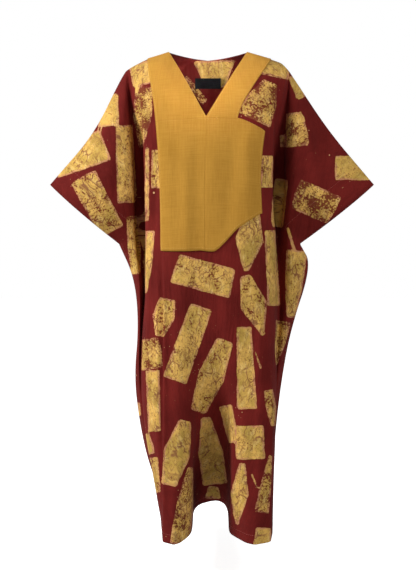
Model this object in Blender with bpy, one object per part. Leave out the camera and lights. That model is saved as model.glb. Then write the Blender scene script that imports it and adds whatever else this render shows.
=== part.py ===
"""Grand boubou robe, filled out as if worn: a front and a back wall, a chest panel and a neck label.

Metres, +Z up. The front faces -Y. The origin is where the wearer's neck holds the robe: between the two
points where the shoulder seams meet the neck. Left and right are the viewer's, as seen from the front.
"""

import bpy
import numpy as np
from mathutils import Vector
from mathutils.bvhtree import BVHTree

# Cloth sizes
WALL = 0.0015
PANEL_WALL = 0.0012
LABEL_WALL = 0.0010
SEAM_GAP = 0.0003

# Neck, shoulder and sleeve
NECK_HALF_WIDTH = 0.110
V_POINT = (-0.005, -0.105, -0.188)
BACK_NECK_MIDDLE = (0.0, 0.075, -0.011)
BACK_NECK_FULLNESS = 0.016
SLEEVE_TIP = {"left": (0.454, -0.372), "right": (0.477, -0.372)}
UNDERARM_CORNER = {"left": (0.2575, -0.542), "right": (0.266, -0.542)}
SHOULDER_APEX = {"left": (0.239, -0.056), "right": (0.2340, -0.057)}
SLEEVE_FOLD_END = {"left": (0.204, -0.500), "right": (0.2190, -0.500)}
RIDGE_SAG = {"left": 0.025, "right": 0.012}

# The cloth's sections, from the shoulder line down to the hem. The grid's lines down the robe are the
# columns. Centre is the neck edge above the V point and the middle line below it. Groove and lip are the
# bottom and the front edge of the fold between the two hanging columns. Face is the flat of a column and
# fold its outer edge, where the cloth turns back. Side is the cloth beside it, and hollow the bottom of
# the deep fold between body and sleeve. Wing is the sleeve's inner fold, sleeve its middle, and seam the
# cuff's edge above the underarm corner and the side seam below it.
SECTIONS = (
    "shoulder", "over_shoulder", "collarbone", "neckline", "chest", "underarm",
    "ribs", "waist", "hip", "thigh", "knee", "hem",
)
COLUMNS = (
    "centre", "groove", "lip", "face", "fold", "side", "hollow", "wing", "sleeve", "seam",
)
NECKLINE = SECTIONS.index("neckline")
CHEST = SECTIONS.index("chest")
UNDERARM = SECTIONS.index("underarm")
CUFF_SHARE = (0.0, 0.05, 0.22, 0.42, 0.72, 1.0)
NECK_SHARE = (0.0, 0.11, 0.48, 1.0)
BACK_NECK_SHARE = (0.0, 0.22, 0.60, 1.0)

# Sections at and above the underarm: distances out from the middle, and heights.
UPPER_COLUMNS = ("lip", "lip_z", "fold", "fold_z", "side", "hollow")
UPPER = {
    "right": (
        (0.1810, -0.0200, 0.2070, -0.0290, 0.2170, 0.2260),
        (0.1676, -0.0410, 0.2030, -0.0490, 0.2180, 0.2270),
        (0.1280, -0.0980, 0.1860, -0.1150, 0.2080, 0.2220),
        (0.0750, -0.1805, 0.1570, -0.2150, 0.1930, 0.2140),
        (0.0720, -0.3450, 0.1425, -0.3350, 0.1800, 0.2050),
        (0.0796, -0.4860, 0.1466, -0.4390, 0.1840, 0.2000),
    ),
    "left": (
        (0.1420, -0.0100, 0.1700, -0.0180, 0.1950, 0.2200),
        (0.1310, -0.0310, 0.1670, -0.0380, 0.2000, 0.2240),
        (0.0980, -0.0900, 0.1545, -0.1040, 0.2040, 0.2220),
        (0.0550, -0.1850, 0.1430, -0.1870, 0.1930, 0.2120),
        (0.0580, -0.3600, 0.1295, -0.3650, 0.1820, 0.1970),
        (0.0600, -0.5660, 0.1285, -0.5660, 0.1825, 0.1920),
    ),
}

# Sections below the underarm: distances out from the middle, and heights.
LOWER_COLUMNS = ("z", "lip", "fold", "fold_z", "side", "hollow", "wing", "seam", "seam_z")
LOWER = {
    "right": (
        (-0.688, 0.0780, 0.1600, -0.635, 0.1900, 0.2030, 0.2400, 0.3050, -0.605),
        (-0.812, 0.0810, 0.1680, -0.797, 0.1950, 0.2060, 0.2220, 0.2455, -0.800),
        (-0.957, 0.0730, 0.1800, -0.957, 0.1980, 0.1960, 0.2060, 0.2215, -0.957),
        (-1.091, 0.0690, 0.1795, -1.091, 0.1950, 0.1870, 0.1950, 0.2085, -1.091),
        (-1.226, 0.0650, 0.1770, -1.226, 0.1900, 0.1790, 0.1870, 0.2005, -1.226),
        (-1.366, 0.0600, 0.1750, -1.364, 0.1880, 0.1750, 0.1830, 0.1960, -1.360),
    ),
    "left": (
        (-0.688, 0.0570, 0.1300, -0.688, 0.1720, 0.1800, 0.1950, 0.2150, -0.645),
        (-0.812, 0.0550, 0.1310, -0.812, 0.1840, 0.1950, 0.2010, 0.2060, -0.790),
        (-0.957, 0.0540, 0.1305, -0.957, 0.1900, 0.1990, 0.2080, 0.2225, -0.945),
        (-1.091, 0.0500, 0.1300, -1.091, 0.1810, 0.1880, 0.1970, 0.2095, -1.085),
        (-1.226, 0.0470, 0.1290, -1.226, 0.1560, 0.1600, 0.1690, 0.1825, -1.226),
        (-1.366, 0.0445, 0.1270, -1.364, 0.1330, 0.1250, 0.1270, 0.1310, -1.356),
    ),
}

# The middle line below the neck, as x, y and z, and the depth of each column at each section.
FRONT_MIDDLE = (
    V_POINT, (0.007, -0.130, -0.360), (0.021, -0.137, -0.560), (0.016, -0.139, -0.688),
    (0.012, -0.138, -0.812), (0.018, -0.100, -0.957), (0.020, -0.040, -1.091),
    (0.026, 0.040, -1.226), (0.028, 0.118, -1.344),
)
BACK_MIDDLE = (
    BACK_NECK_MIDDLE, (0.000, 0.118, -0.220), (0.000, 0.134, -0.460), (0.000, 0.142, -0.630),
    (0.002, 0.154, -0.795), (0.004, 0.170, -0.948), (0.005, 0.188, -1.085),
    (0.006, 0.207, -1.223), (0.006, 0.226, -1.360),
)
DEPTH_COLUMNS = ("lip", "face", "fold", "side", "hollow", "wing", "sleeve", "seam")
FRONT_DEPTHS = (
    (0.000, 0.000, 0.000, 0.000, 0.000, 0.000, 0.000, 0.000),
    (-0.036, -0.036, -0.034, -0.030, -0.010, -0.018, -0.018, -0.012),
    (-0.082, -0.078, -0.070, -0.056, -0.010, -0.046, -0.050, -0.033),
    (-0.103, -0.100, -0.092, -0.068, 0.010, -0.056, -0.066, -0.042),
    (-0.128, -0.125, -0.108, -0.070, 0.032, -0.054, -0.058, -0.034),
    (-0.136, -0.132, -0.114, -0.062, 0.042, -0.026, -0.018, 0.000),
    (-0.138, -0.134, -0.119, -0.064, 0.040, -0.004, 0.008, 0.030),
    (-0.141, -0.140, -0.130, -0.070, 0.034, 0.012, 0.026, 0.046),
    (-0.148, -0.156, -0.144, -0.076, 0.034, 0.030, 0.047, 0.066),
    (-0.155, -0.172, -0.156, -0.080, 0.032, 0.044, 0.062, 0.083),
    (-0.145, -0.184, -0.167, -0.084, 0.032, 0.058, 0.080, 0.098),
    (-0.104, -0.197, -0.173, -0.086, 0.032, 0.066, 0.088, 0.108),
)
BACK_DEPTHS = (
    (0.000, 0.000, 0.000, 0.000, 0.000, 0.000, 0.000, 0.000),
    (0.030, 0.030, 0.030, 0.026, 0.018, 0.018, 0.018, 0.012),
    (0.062, 0.060, 0.058, 0.048, 0.042, 0.046, 0.050, 0.033),
    (0.085, 0.086, 0.082, 0.064, 0.056, 0.056, 0.066, 0.042),
    (0.118, 0.120, 0.112, 0.080, 0.074, 0.056, 0.062, 0.036),
    (0.132, 0.135, 0.125, 0.090, 0.084, 0.040, 0.030, 0.000),
    (0.138, 0.142, 0.130, 0.092, 0.086, 0.052, 0.048, 0.030),
    (0.144, 0.152, 0.138, 0.098, 0.090, 0.066, 0.064, 0.046),
    (0.150, 0.168, 0.150, 0.106, 0.098, 0.086, 0.084, 0.066),
    (0.156, 0.186, 0.162, 0.116, 0.106, 0.104, 0.104, 0.083),
    (0.164, 0.204, 0.174, 0.128, 0.118, 0.120, 0.122, 0.098),
    (0.174, 0.220, 0.186, 0.140, 0.130, 0.134, 0.134, 0.108),
)

# How far down the back's sections drop from the middle line to the sleeve's fold, as shares
BACK_DROP = {"groove": 0.03, "lip": 0.12, "face": 0.28, "fold": 0.45, "side": 0.65, "hollow": 0.85}
FRONT_SIDE_DROP = {"side": 0.30, "hollow": 0.65}
WING_DROP = 0.60

# A deep groove's bottom corner lies further out, under the lip, and nearer to the middle's depth.
DEEPEST_GROOVE = 0.22
GROOVE_SPREAD = 0.50
GROOVE_SINK = 0.38

# Grid steps from column to column and from section to section, and how far each bend is rounded
FRONT_COLUMN_STEPS = (2, 4, 2, 3, 3, 3, 3, 3, 3)
BACK_COLUMN_STEPS = (2, 2, 2, 2, 2, 3, 3, 3, 3)
ROW_STEPS = (2, 3, 3, 3, 4, 3, 3, 3, 3, 3, 3)
SOFT_ROUNDING = 0.42
COLUMN_ROUNDING = {
    "left": (0.42, 0.42, 0.30, 0.42, 0.14, 0.35, 0.35, 0.40, 0.42, 0.42),
    "right": (0.42, 0.42, 0.16, 0.42, 0.14, 0.35, 0.35, 0.40, 0.42, 0.42),
}
ROW_ROUNDING = 0.50
ROUNDING_SAMPLES = 7

# Neck label on the back's inner side
LABEL_HALF_WIDTH = 0.038
LABEL_TOP = -0.060
LABEL_HEIGHT = 0.030
LABEL_STEPS = (6, 3)
LABEL_GAP = 0.00045

SIDES = {"left": -1, "right": 1}


def mix(a, b, share):
    """The point at this share of the way from a to b."""
    return np.asarray(a, float) * (1 - share) + np.asarray(b, float) * share


def section_row(side, row):
    """The named widths and heights of one section of a half, with the sleeve's lines worked out."""
    if row <= UNDERARM:
        found = dict(zip(UPPER_COLUMNS, UPPER[side][row]))
        share = CUFF_SHARE[row]
        found["wing"], found["wing_z"] = mix(SHOULDER_APEX[side], SLEEVE_FOLD_END[side], share)
        found["seam"], found["seam_z"] = mix(SLEEVE_TIP[side], UNDERARM_CORNER[side], share)
        return found
    found = dict(zip(LOWER_COLUMNS, LOWER[side][row - UNDERARM - 1]))
    found["lip_z"] = found["z"]
    found["wing_z"] = mix(found["z"], found["seam_z"], WING_DROP)
    return found


def inner_edge(side, row, is_front):
    """The point where a section begins: on the neck edge, or on the middle line below it."""
    neck_point = (SIDES[side] * NECK_HALF_WIDTH, 0.0, 0.0)
    middle = FRONT_MIDDLE if is_front else BACK_MIDDLE
    if row >= NECKLINE:
        return np.array(middle[row - NECKLINE])
    if is_front:
        share = NECK_SHARE[row]
        point = mix(neck_point, middle[0], share)
        point[1] = middle[0][1] * (1 - (1 - share) ** 2)
        return point
    share = BACK_NECK_SHARE[row]
    point = mix(neck_point, middle[0], share)
    point[1] = middle[0][1] * (1 - (1 - share) ** 2) + BACK_NECK_FULLNESS * share * (1 - share)
    return point


def control_net(side, is_front):
    """The half's net: for each section, a point on each column."""
    depths = FRONT_DEPTHS if is_front else BACK_DEPTHS
    net = np.zeros((len(SECTIONS), len(COLUMNS), 3))
    for row in range(len(SECTIONS)):
        size = section_row(side, row)
        depth = dict(zip(DEPTH_COLUMNS, depths[row]))
        start = inner_edge(side, row, is_front)
        outward = SIDES[side]
        lip = np.array((outward * size["lip"], depth["lip"], size["lip_z"]))
        fold = np.array((outward * size["fold"], depth["fold"], size["fold_z"]))
        wing = np.array((outward * size["wing"], depth["wing"], size["wing_z"]))
        seam = np.array((outward * size["seam"], depth["seam"], size["seam_z"]))
        drops = {name: fold[2] + share * (wing[2] - fold[2]) for name, share in FRONT_SIDE_DROP.items()}
        if not is_front and row > 0:
            drops = {name: start[2] + share * (wing[2] - start[2]) for name, share in BACK_DROP.items()}
            lip[2] = drops["lip"]
            fold[2] = drops["fold"]
        deep = np.clip((start[1] - lip[1]) / DEEPEST_GROOVE, 0.0, 1.0) if is_front else 0.0
        groove = mix(start, lip, 0.5)
        groove[0] = mix(start[0], lip[0], 0.5 + GROOVE_SPREAD * deep)
        groove[1] = mix(start[1], lip[1], 0.5 - GROOVE_SINK * deep)
        face = mix(lip, fold, 0.5)
        face[1] = depth["face"]
        sleeve = mix(wing, seam, 0.5)
        if row < UNDERARM:
            along = (seam - wing)[[0, 2]] / np.linalg.norm((seam - wing)[[0, 2]])
            sag = RIDGE_SAG[side] * (1 - CUFF_SHARE[row])
            sleeve += np.array((along[1], 0.0, -along[0])) * sag * outward
        sleeve[1] = depth["sleeve"]
        middle_columns = (
            (outward * size["side"], depth["side"], drops["side"]),
            (outward * size["hollow"], depth["hollow"], drops["hollow"]),
        )
        net[row] = (start, groove, lip, face, fold, *middle_columns, wing, sleeve, seam)
    return net


def read_net(net, rows, columns):
    """Points of the net at fractional rows and columns, straight from point to point."""
    row = np.clip(rows, 0, net.shape[0] - 1)
    column = np.clip(columns + len(COLUMNS) - 1, 0, net.shape[1] - 1)
    r = np.minimum(row.astype(int), net.shape[0] - 2)
    c = np.minimum(column.astype(int), net.shape[1] - 2)
    down = (row - r)[..., None]
    across = (column - c)[..., None]
    upper = net[r, c] * (1 - across) + net[r, c + 1] * across
    lower = net[r + 1, c] * (1 - across) + net[r + 1, c + 1] * across
    return upper * (1 - down) + lower * down


def cloth_points(side, is_front, rows, columns):
    """Points of a half: its net with each bend rounded, but for the cloth's edges and the underarm corner."""
    other = "left" if side == "right" else "right"
    own_net = control_net(side, is_front)
    net = np.concatenate((control_net(other, is_front)[:, :0:-1], own_net), axis=1)
    last_row = len(SECTIONS) - 1
    last_column = len(COLUMNS) - 1
    creased = np.clip((rows - CHEST) / 2, 0.0, 1.0)
    own_rounding = np.interp(columns, np.arange(len(COLUMNS)), COLUMN_ROUNDING[side])
    across = SOFT_ROUNDING + (own_rounding - SOFT_ROUNDING) * creased
    below_neck = np.maximum(rows - NECKLINE, 0.0)
    across = np.minimum(across, np.minimum(columns + below_neck, last_column - columns))
    down = np.minimum(ROW_ROUNDING, np.minimum(rows, last_row - rows))
    down = np.minimum(down, np.abs(rows - UNDERARM) + (last_column - columns))
    down = np.minimum(down, np.abs(rows - NECKLINE) + columns)
    offsets = (np.arange(ROUNDING_SAMPLES) + 0.5) / ROUNDING_SAMPLES * 2 - 1
    total = np.zeros(rows.shape + (3,))
    for a in offsets:
        for b in offsets:
            total += read_net(net, rows + a * down, columns + b * across)
    return total / ROUNDING_SAMPLES**2


def grid_lines(steps):
    """Fractional positions of the grid's lines, with this many steps in each stretch."""
    lines = [start + k / count for start, count in enumerate(steps) for k in range(count)]
    return np.array(lines + [float(len(steps))])


def sheet_grid(is_front, column_steps):
    """The sheet's points, its triangles with their outer sides out, and its grid points' numbers."""
    row_lines = grid_lines(ROW_STEPS)
    column_lines = grid_lines(column_steps)
    joined_from = int(np.argmin(np.abs(row_lines - NECKLINE)))
    points = []
    numbers = {}
    triangles = []
    for side, outward in SIDES.items():
        rows, columns = np.meshgrid(row_lines, column_lines, indexing="ij")
        surface = cloth_points(side, is_front, rows, columns)
        for r in range(len(row_lines)):
            for c in range(len(column_lines)):
                shared = numbers.get(("left", r, c)) if c == 0 and r >= joined_from else None
                if side == "right" and shared is not None:
                    numbers[side, r, c] = shared
                    continue
                numbers[side, r, c] = len(points)
                points.append(surface[r, c])
        for r in range(len(row_lines) - 1):
            for c in range(len(column_lines) - 1):
                triangles += cell_triangles(numbers, side, r, c, (outward > 0) == is_front)
    return np.array(points), np.array(triangles), numbers


def cell_triangles(numbers, side, row, column, as_listed):
    """A cell of the grid as two triangles, always parted along the same diagonal."""
    places = ((row, column), (row + 1, column), (row + 1, column + 1), (row, column + 1))
    a, b, c, d = (numbers[side, *place] for place in places)
    return [(a, b, c), (a, c, d)] if as_listed else [(c, b, a), (d, c, a)]


def point_normals(points, triangles):
    """The direction out of the cloth at each point."""
    a, b, c = (points[triangles[:, k]] for k in range(3))
    face_normals = np.cross(b - a, c - a)
    normals = np.zeros_like(points)
    for k in range(3):
        np.add.at(normals, triangles[:, k], face_normals)
    return normals / np.linalg.norm(normals, axis=1, keepdims=True)


def level_seam_normals(points, normals, numbers):
    """Turns the normals along the shoulder and side seams square to Y, so that the two walls meet flat."""
    last_row = max(r for _, r, _ in numbers)
    last_column = max(c for _, _, c in numbers)
    underarm_row = int(np.argmin(np.abs(grid_lines(ROW_STEPS) - UNDERARM)))
    for side, outward in SIDES.items():
        shoulder = [numbers[side, 0, c] for c in range(last_column + 1)]
        side_seam = [numbers[side, r, last_column] for r in range(underarm_row, last_row + 1)]
        for line in (shoulder, side_seam):
            along = np.gradient(points[line], axis=0)
            square = np.stack((-along[:, 2], np.zeros(len(line)), along[:, 0]), axis=1) * outward
            normals[line] = square / np.linalg.norm(square, axis=1, keepdims=True)


def closed_wall(outer, inner, triangles):
    """The vertices and faces of the wall between an outer and an inner set of points."""
    count = len(outer)
    faces = [tuple(int(k) for k in triangle) for triangle in triangles]
    edges = {(t[k], t[(k + 1) % 3]) for t in faces for k in range(3)}
    faces += [(count + c, count + b, count + a) for a, b, c in faces]
    for start, end in sorted(edges):
        if (end, start) not in edges:
            faces.append((end, start, count + start, count + end))
    return np.concatenate((outer, inner)), faces


def cloth_object(name, vertices, faces, material):
    mesh = bpy.data.meshes.new(name)
    mesh.from_pydata(vertices.tolist(), [], faces)
    mesh.shade_smooth()
    mesh.materials.append(material)
    made = bpy.data.objects.new(name, mesh)
    bpy.context.scene.collection.objects.link(made)
    return made


def cloth_material(name, colour, roughness):
    material = bpy.data.materials.new(name)
    material.use_nodes = True
    shader = material.node_tree.nodes["Principled BSDF"]
    shader.inputs["Base Color"].default_value = (*colour, 1.0)
    shader.inputs["Roughness"].default_value = roughness
    shader.inputs["Metallic"].default_value = 0.0
    return material


def make_sheet(name, is_front, column_steps, material):
    """One wall of the robe. It returns the object and what the pieces lying on it are made from."""
    points, triangles, numbers = sheet_grid(is_front, column_steps)
    points[:, 1] += (-0.5 if is_front else 0.5) * SEAM_GAP
    normals = point_normals(points, triangles)
    level_seam_normals(points, normals, numbers)
    vertices, faces = closed_wall(points, points - normals * WALL, triangles)
    return cloth_object(name, vertices, faces, material), points, normals, numbers


def make_chest_panel(points, normals, numbers, material):
    """The panel on the front's own points: straps to the shoulder, edges on the lip and fold columns."""
    row_lines = grid_lines(ROW_STEPS)
    column_lines = grid_lines(FRONT_COLUMN_STEPS)
    last_row = int(np.argmin(np.abs(row_lines - UNDERARM)))
    neck_row = int(np.argmin(np.abs(row_lines - NECKLINE)))
    fold = int(np.argmin(np.abs(column_lines - COLUMNS.index("fold"))))
    lip = int(np.argmin(np.abs(column_lines - COLUMNS.index("lip"))))
    triangles = []
    for side, outward in SIDES.items():
        for r in range(last_row):
            outer_column = lip if side == "right" and r < neck_row else fold
            for c in range(outer_column):
                triangles += cell_triangles(numbers, side, r, c, outward > 0)
    used, local = np.unique(np.array(triangles), return_inverse=True)
    inner = points[used] + normals[used] * SEAM_GAP
    outer = inner + normals[used] * PANEL_WALL
    vertices, faces = closed_wall(outer, inner, local.reshape(-1, 3))
    return cloth_object("chest_panel", vertices, faces, material)


def make_neck_label(back, material):
    """A small woven label on the inner side of the back, under the neck edge."""
    tree = BVHTree.FromPolygons(
        [v.co for v in back.data.vertices], [tuple(p.vertices) for p in back.data.polygons]
    )
    across, down = LABEL_STEPS
    on_cloth = []
    for r in range(down + 1):
        for c in range(across + 1):
            x = LABEL_HALF_WIDTH * (2 * c / across - 1)
            z = LABEL_TOP - LABEL_HEIGHT * r / down
            hit = tree.ray_cast(Vector((x, 0.0, z)), Vector((0.0, 1.0, 0.0)))[0]
            on_cloth.append(hit)
    cloth = np.array([tuple(point) for point in on_cloth])
    numbers = {("label", r, c): r * (across + 1) + c for r in range(down + 1) for c in range(across + 1)}
    triangles = []
    for r in range(down):
        for c in range(across):
            triangles += cell_triangles(numbers, "label", r, c, True)
    away = np.array((0.0, -1.0, 0.0))
    far_side = cloth + away * LABEL_GAP
    vertices, faces = closed_wall(far_side + away * LABEL_WALL, far_side, triangles)
    return cloth_object("neck_label", vertices, faces, material)


def build_robe():
    for old in list(bpy.data.objects):
        bpy.data.objects.remove(old)
    print_cloth = cloth_material("print_cloth", (0.17, 0.022, 0.025), 0.85)
    panel_cloth = cloth_material("panel_linen", (0.65, 0.37, 0.055), 0.9)
    label_cloth = cloth_material("label_satin", (0.012, 0.012, 0.013), 0.5)
    _, points, normals, numbers = make_sheet("front", True, FRONT_COLUMN_STEPS, print_cloth)
    back, *_ = make_sheet("back", False, BACK_COLUMN_STEPS, print_cloth)
    make_chest_panel(points, normals, numbers, panel_cloth)
    make_neck_label(back, label_cloth)


build_robe()
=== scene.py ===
"""Grand boubou robe: its cloth, chest panel, label, sewing and wax resist print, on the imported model.

Metres, +Z up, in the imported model's frame. Left and right are the viewer's, as seen from the front.
"""

import math

import bpy
import numpy as np
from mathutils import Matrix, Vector, geometry
from mathutils.bvhtree import BVHTree


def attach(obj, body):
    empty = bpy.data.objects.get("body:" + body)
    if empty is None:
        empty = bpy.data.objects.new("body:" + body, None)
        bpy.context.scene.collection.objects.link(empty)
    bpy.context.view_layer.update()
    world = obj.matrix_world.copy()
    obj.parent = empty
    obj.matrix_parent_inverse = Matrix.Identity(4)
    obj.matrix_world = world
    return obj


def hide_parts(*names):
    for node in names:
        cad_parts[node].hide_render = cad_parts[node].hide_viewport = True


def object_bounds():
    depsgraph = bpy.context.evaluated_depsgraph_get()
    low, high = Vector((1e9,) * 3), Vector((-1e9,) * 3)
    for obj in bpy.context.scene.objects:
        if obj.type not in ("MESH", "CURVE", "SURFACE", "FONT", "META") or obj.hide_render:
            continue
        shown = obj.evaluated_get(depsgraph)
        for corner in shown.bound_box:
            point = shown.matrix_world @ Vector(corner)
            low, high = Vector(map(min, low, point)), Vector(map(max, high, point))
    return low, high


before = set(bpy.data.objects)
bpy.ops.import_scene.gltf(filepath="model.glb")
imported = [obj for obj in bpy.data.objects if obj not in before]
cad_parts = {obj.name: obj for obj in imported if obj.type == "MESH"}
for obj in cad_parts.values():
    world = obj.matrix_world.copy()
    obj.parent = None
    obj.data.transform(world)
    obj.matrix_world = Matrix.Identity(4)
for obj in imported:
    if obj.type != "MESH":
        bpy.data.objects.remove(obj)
cad_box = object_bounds()

# The camera and its picture, measured in pixels on a plane through the robe's front
EYE = Vector((0.0, -2.52, -0.42))
LOOK_AT = Vector((0.0, -0.12, -0.65))
PICTURE_SIZE = (416, 570)
PICTURE_PLANE_Y = -0.12
PIXEL = 0.002755
AHEAD = (LOOK_AT - EYE).normalized()
TO_THE_RIGHT = Vector((1.0, 0.0, 0.0))
UPWARD = TO_THE_RIGHT.cross(AHEAD)
PICTURE_DISTANCE = PICTURE_PLANE_Y - EYE.y

# Cloth sizes
CLOTH_THICKNESS = 0.0008
PANEL_LIFT = 0.0007
PANEL_THICKNESS = 0.0016
SEAM_GAP = 0.0003
HEM_DEPTH = 0.025
CUFF_HEM_DEPTH = 0.075
SIDE_TOPSTITCH_INSET = 0.009

# Neck, shoulder and sleeve, as in the part's source
NECK_HALF_WIDTH = 0.110
V_POINT = (-0.005, -0.105, -0.188)
BACK_NECK_MIDDLE = (0.0, 0.075, -0.011)
BACK_NECK_FULLNESS = 0.016
SLEEVE_TIP = {"left": (0.454, -0.372), "right": (0.477, -0.372)}
UNDERARM_CORNER = {"left": (0.2575, -0.542), "right": (0.266, -0.542)}
SHOULDER_APEX = {"left": (0.239, -0.056), "right": (0.2340, -0.057)}
SLEEVE_FOLD_END = {"left": (0.204, -0.500), "right": (0.2190, -0.500)}
RIDGE_SAG = {"left": 0.025, "right": 0.012}

SECTIONS = (
    "shoulder", "over_shoulder", "collarbone", "neckline", "chest", "underarm",
    "ribs", "waist", "hip", "thigh", "knee", "hem",
)
COLUMNS = (
    "centre", "groove", "lip", "face", "fold", "side", "hollow", "wing", "sleeve", "seam",
)
NECKLINE = SECTIONS.index("neckline")
CHEST = SECTIONS.index("chest")
UNDERARM = SECTIONS.index("underarm")
CUFF_SHARE = (0.0, 0.05, 0.22, 0.42, 0.72, 1.0)
NECK_SHARE = (0.0, 0.11, 0.48, 1.0)
BACK_NECK_SHARE = (0.0, 0.22, 0.60, 1.0)

# Sections at and above the underarm: distances out from the middle, and heights.
UPPER_COLUMNS = ("lip", "lip_z", "fold", "fold_z", "side", "hollow")
UPPER = {
    "right": (
        (0.1810, -0.0200, 0.2070, -0.0290, 0.2170, 0.2260),
        (0.1676, -0.0410, 0.2030, -0.0490, 0.2180, 0.2270),
        (0.1280, -0.0980, 0.1860, -0.1150, 0.2080, 0.2220),
        (0.0750, -0.1805, 0.1570, -0.2150, 0.1930, 0.2140),
        (0.0720, -0.3450, 0.1425, -0.3350, 0.1800, 0.2050),
        (0.0796, -0.4860, 0.1466, -0.4390, 0.1840, 0.2000),
    ),
    "left": (
        (0.1420, -0.0100, 0.1700, -0.0180, 0.1950, 0.2200),
        (0.1310, -0.0310, 0.1670, -0.0380, 0.2000, 0.2240),
        (0.0980, -0.0900, 0.1545, -0.1040, 0.2040, 0.2220),
        (0.0550, -0.1850, 0.1430, -0.1870, 0.1930, 0.2120),
        (0.0580, -0.3600, 0.1295, -0.3650, 0.1820, 0.1970),
        (0.0600, -0.5660, 0.1285, -0.5660, 0.1825, 0.1920),
    ),
}

# Sections below the underarm: distances out from the middle, and heights.
LOWER_COLUMNS = ("z", "lip", "fold", "fold_z", "side", "hollow", "wing", "seam", "seam_z")
LOWER = {
    "right": (
        (-0.688, 0.0780, 0.1600, -0.635, 0.1900, 0.2030, 0.2400, 0.3050, -0.605),
        (-0.812, 0.0810, 0.1680, -0.797, 0.1950, 0.2060, 0.2220, 0.2455, -0.800),
        (-0.957, 0.0730, 0.1800, -0.957, 0.1980, 0.1960, 0.2060, 0.2215, -0.957),
        (-1.091, 0.0690, 0.1795, -1.091, 0.1950, 0.1870, 0.1950, 0.2085, -1.091),
        (-1.226, 0.0650, 0.1770, -1.226, 0.1900, 0.1790, 0.1870, 0.2005, -1.226),
        (-1.366, 0.0600, 0.1750, -1.364, 0.1880, 0.1750, 0.1830, 0.1960, -1.360),
    ),
    "left": (
        (-0.688, 0.0570, 0.1300, -0.688, 0.1720, 0.1800, 0.1950, 0.2150, -0.645),
        (-0.812, 0.0550, 0.1310, -0.812, 0.1840, 0.1950, 0.2010, 0.2060, -0.790),
        (-0.957, 0.0540, 0.1305, -0.957, 0.1900, 0.1990, 0.2080, 0.2225, -0.945),
        (-1.091, 0.0500, 0.1300, -1.091, 0.1810, 0.1880, 0.1970, 0.2095, -1.085),
        (-1.226, 0.0470, 0.1290, -1.226, 0.1560, 0.1600, 0.1690, 0.1825, -1.226),
        (-1.366, 0.0445, 0.1270, -1.364, 0.1330, 0.1250, 0.1270, 0.1310, -1.356),
    ),
}

# The middle line below the neck, as x, y and z, and the depth of each column at each section
FRONT_MIDDLE = (
    V_POINT, (0.007, -0.130, -0.360), (0.021, -0.137, -0.560), (0.016, -0.139, -0.688),
    (0.012, -0.138, -0.812), (0.018, -0.100, -0.957), (0.020, -0.040, -1.091),
    (0.026, 0.040, -1.226), (0.028, 0.118, -1.344),
)
BACK_MIDDLE = (
    BACK_NECK_MIDDLE, (0.000, 0.118, -0.220), (0.000, 0.134, -0.460), (0.000, 0.142, -0.630),
    (0.002, 0.154, -0.795), (0.004, 0.170, -0.948), (0.005, 0.188, -1.085),
    (0.006, 0.207, -1.223), (0.006, 0.226, -1.360),
)
DEPTH_COLUMNS = ("lip", "face", "fold", "side", "hollow", "wing", "sleeve", "seam")
FRONT_DEPTHS = (
    (0.000, 0.000, 0.000, 0.000, 0.000, 0.000, 0.000, 0.000),
    (-0.036, -0.036, -0.034, -0.030, -0.010, -0.018, -0.018, -0.012),
    (-0.082, -0.078, -0.070, -0.056, -0.010, -0.046, -0.050, -0.033),
    (-0.103, -0.100, -0.092, -0.068, 0.010, -0.056, -0.066, -0.042),
    (-0.128, -0.125, -0.108, -0.070, 0.032, -0.054, -0.058, -0.034),
    (-0.136, -0.132, -0.114, -0.062, 0.042, -0.026, -0.018, 0.000),
    (-0.138, -0.134, -0.119, -0.064, 0.040, -0.004, 0.008, 0.030),
    (-0.141, -0.140, -0.130, -0.070, 0.034, 0.012, 0.026, 0.046),
    (-0.148, -0.156, -0.144, -0.076, 0.034, 0.030, 0.047, 0.066),
    (-0.155, -0.172, -0.156, -0.080, 0.032, 0.044, 0.062, 0.083),
    (-0.145, -0.184, -0.167, -0.084, 0.032, 0.058, 0.080, 0.098),
    (-0.104, -0.197, -0.173, -0.086, 0.032, 0.066, 0.088, 0.108),
)
BACK_DEPTHS = (
    (0.000, 0.000, 0.000, 0.000, 0.000, 0.000, 0.000, 0.000),
    (0.030, 0.030, 0.030, 0.026, 0.018, 0.018, 0.018, 0.012),
    (0.062, 0.060, 0.058, 0.048, 0.042, 0.046, 0.050, 0.033),
    (0.085, 0.086, 0.082, 0.064, 0.056, 0.056, 0.066, 0.042),
    (0.118, 0.120, 0.112, 0.080, 0.074, 0.056, 0.062, 0.036),
    (0.132, 0.135, 0.125, 0.090, 0.084, 0.040, 0.030, 0.000),
    (0.138, 0.142, 0.130, 0.092, 0.086, 0.052, 0.048, 0.030),
    (0.144, 0.152, 0.138, 0.098, 0.090, 0.066, 0.064, 0.046),
    (0.150, 0.168, 0.150, 0.106, 0.098, 0.086, 0.084, 0.066),
    (0.156, 0.186, 0.162, 0.116, 0.106, 0.104, 0.104, 0.083),
    (0.164, 0.204, 0.174, 0.128, 0.118, 0.120, 0.122, 0.098),
    (0.174, 0.220, 0.186, 0.140, 0.130, 0.134, 0.134, 0.108),
)
BACK_DROP = {"groove": 0.03, "lip": 0.12, "face": 0.28, "fold": 0.45, "side": 0.65, "hollow": 0.85}
FRONT_SIDE_DROP = {"side": 0.30, "hollow": 0.65}
WING_DROP = 0.60
DEEPEST_GROOVE = 0.22
GROOVE_SPREAD = 0.50
GROOVE_SINK = 0.38

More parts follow.
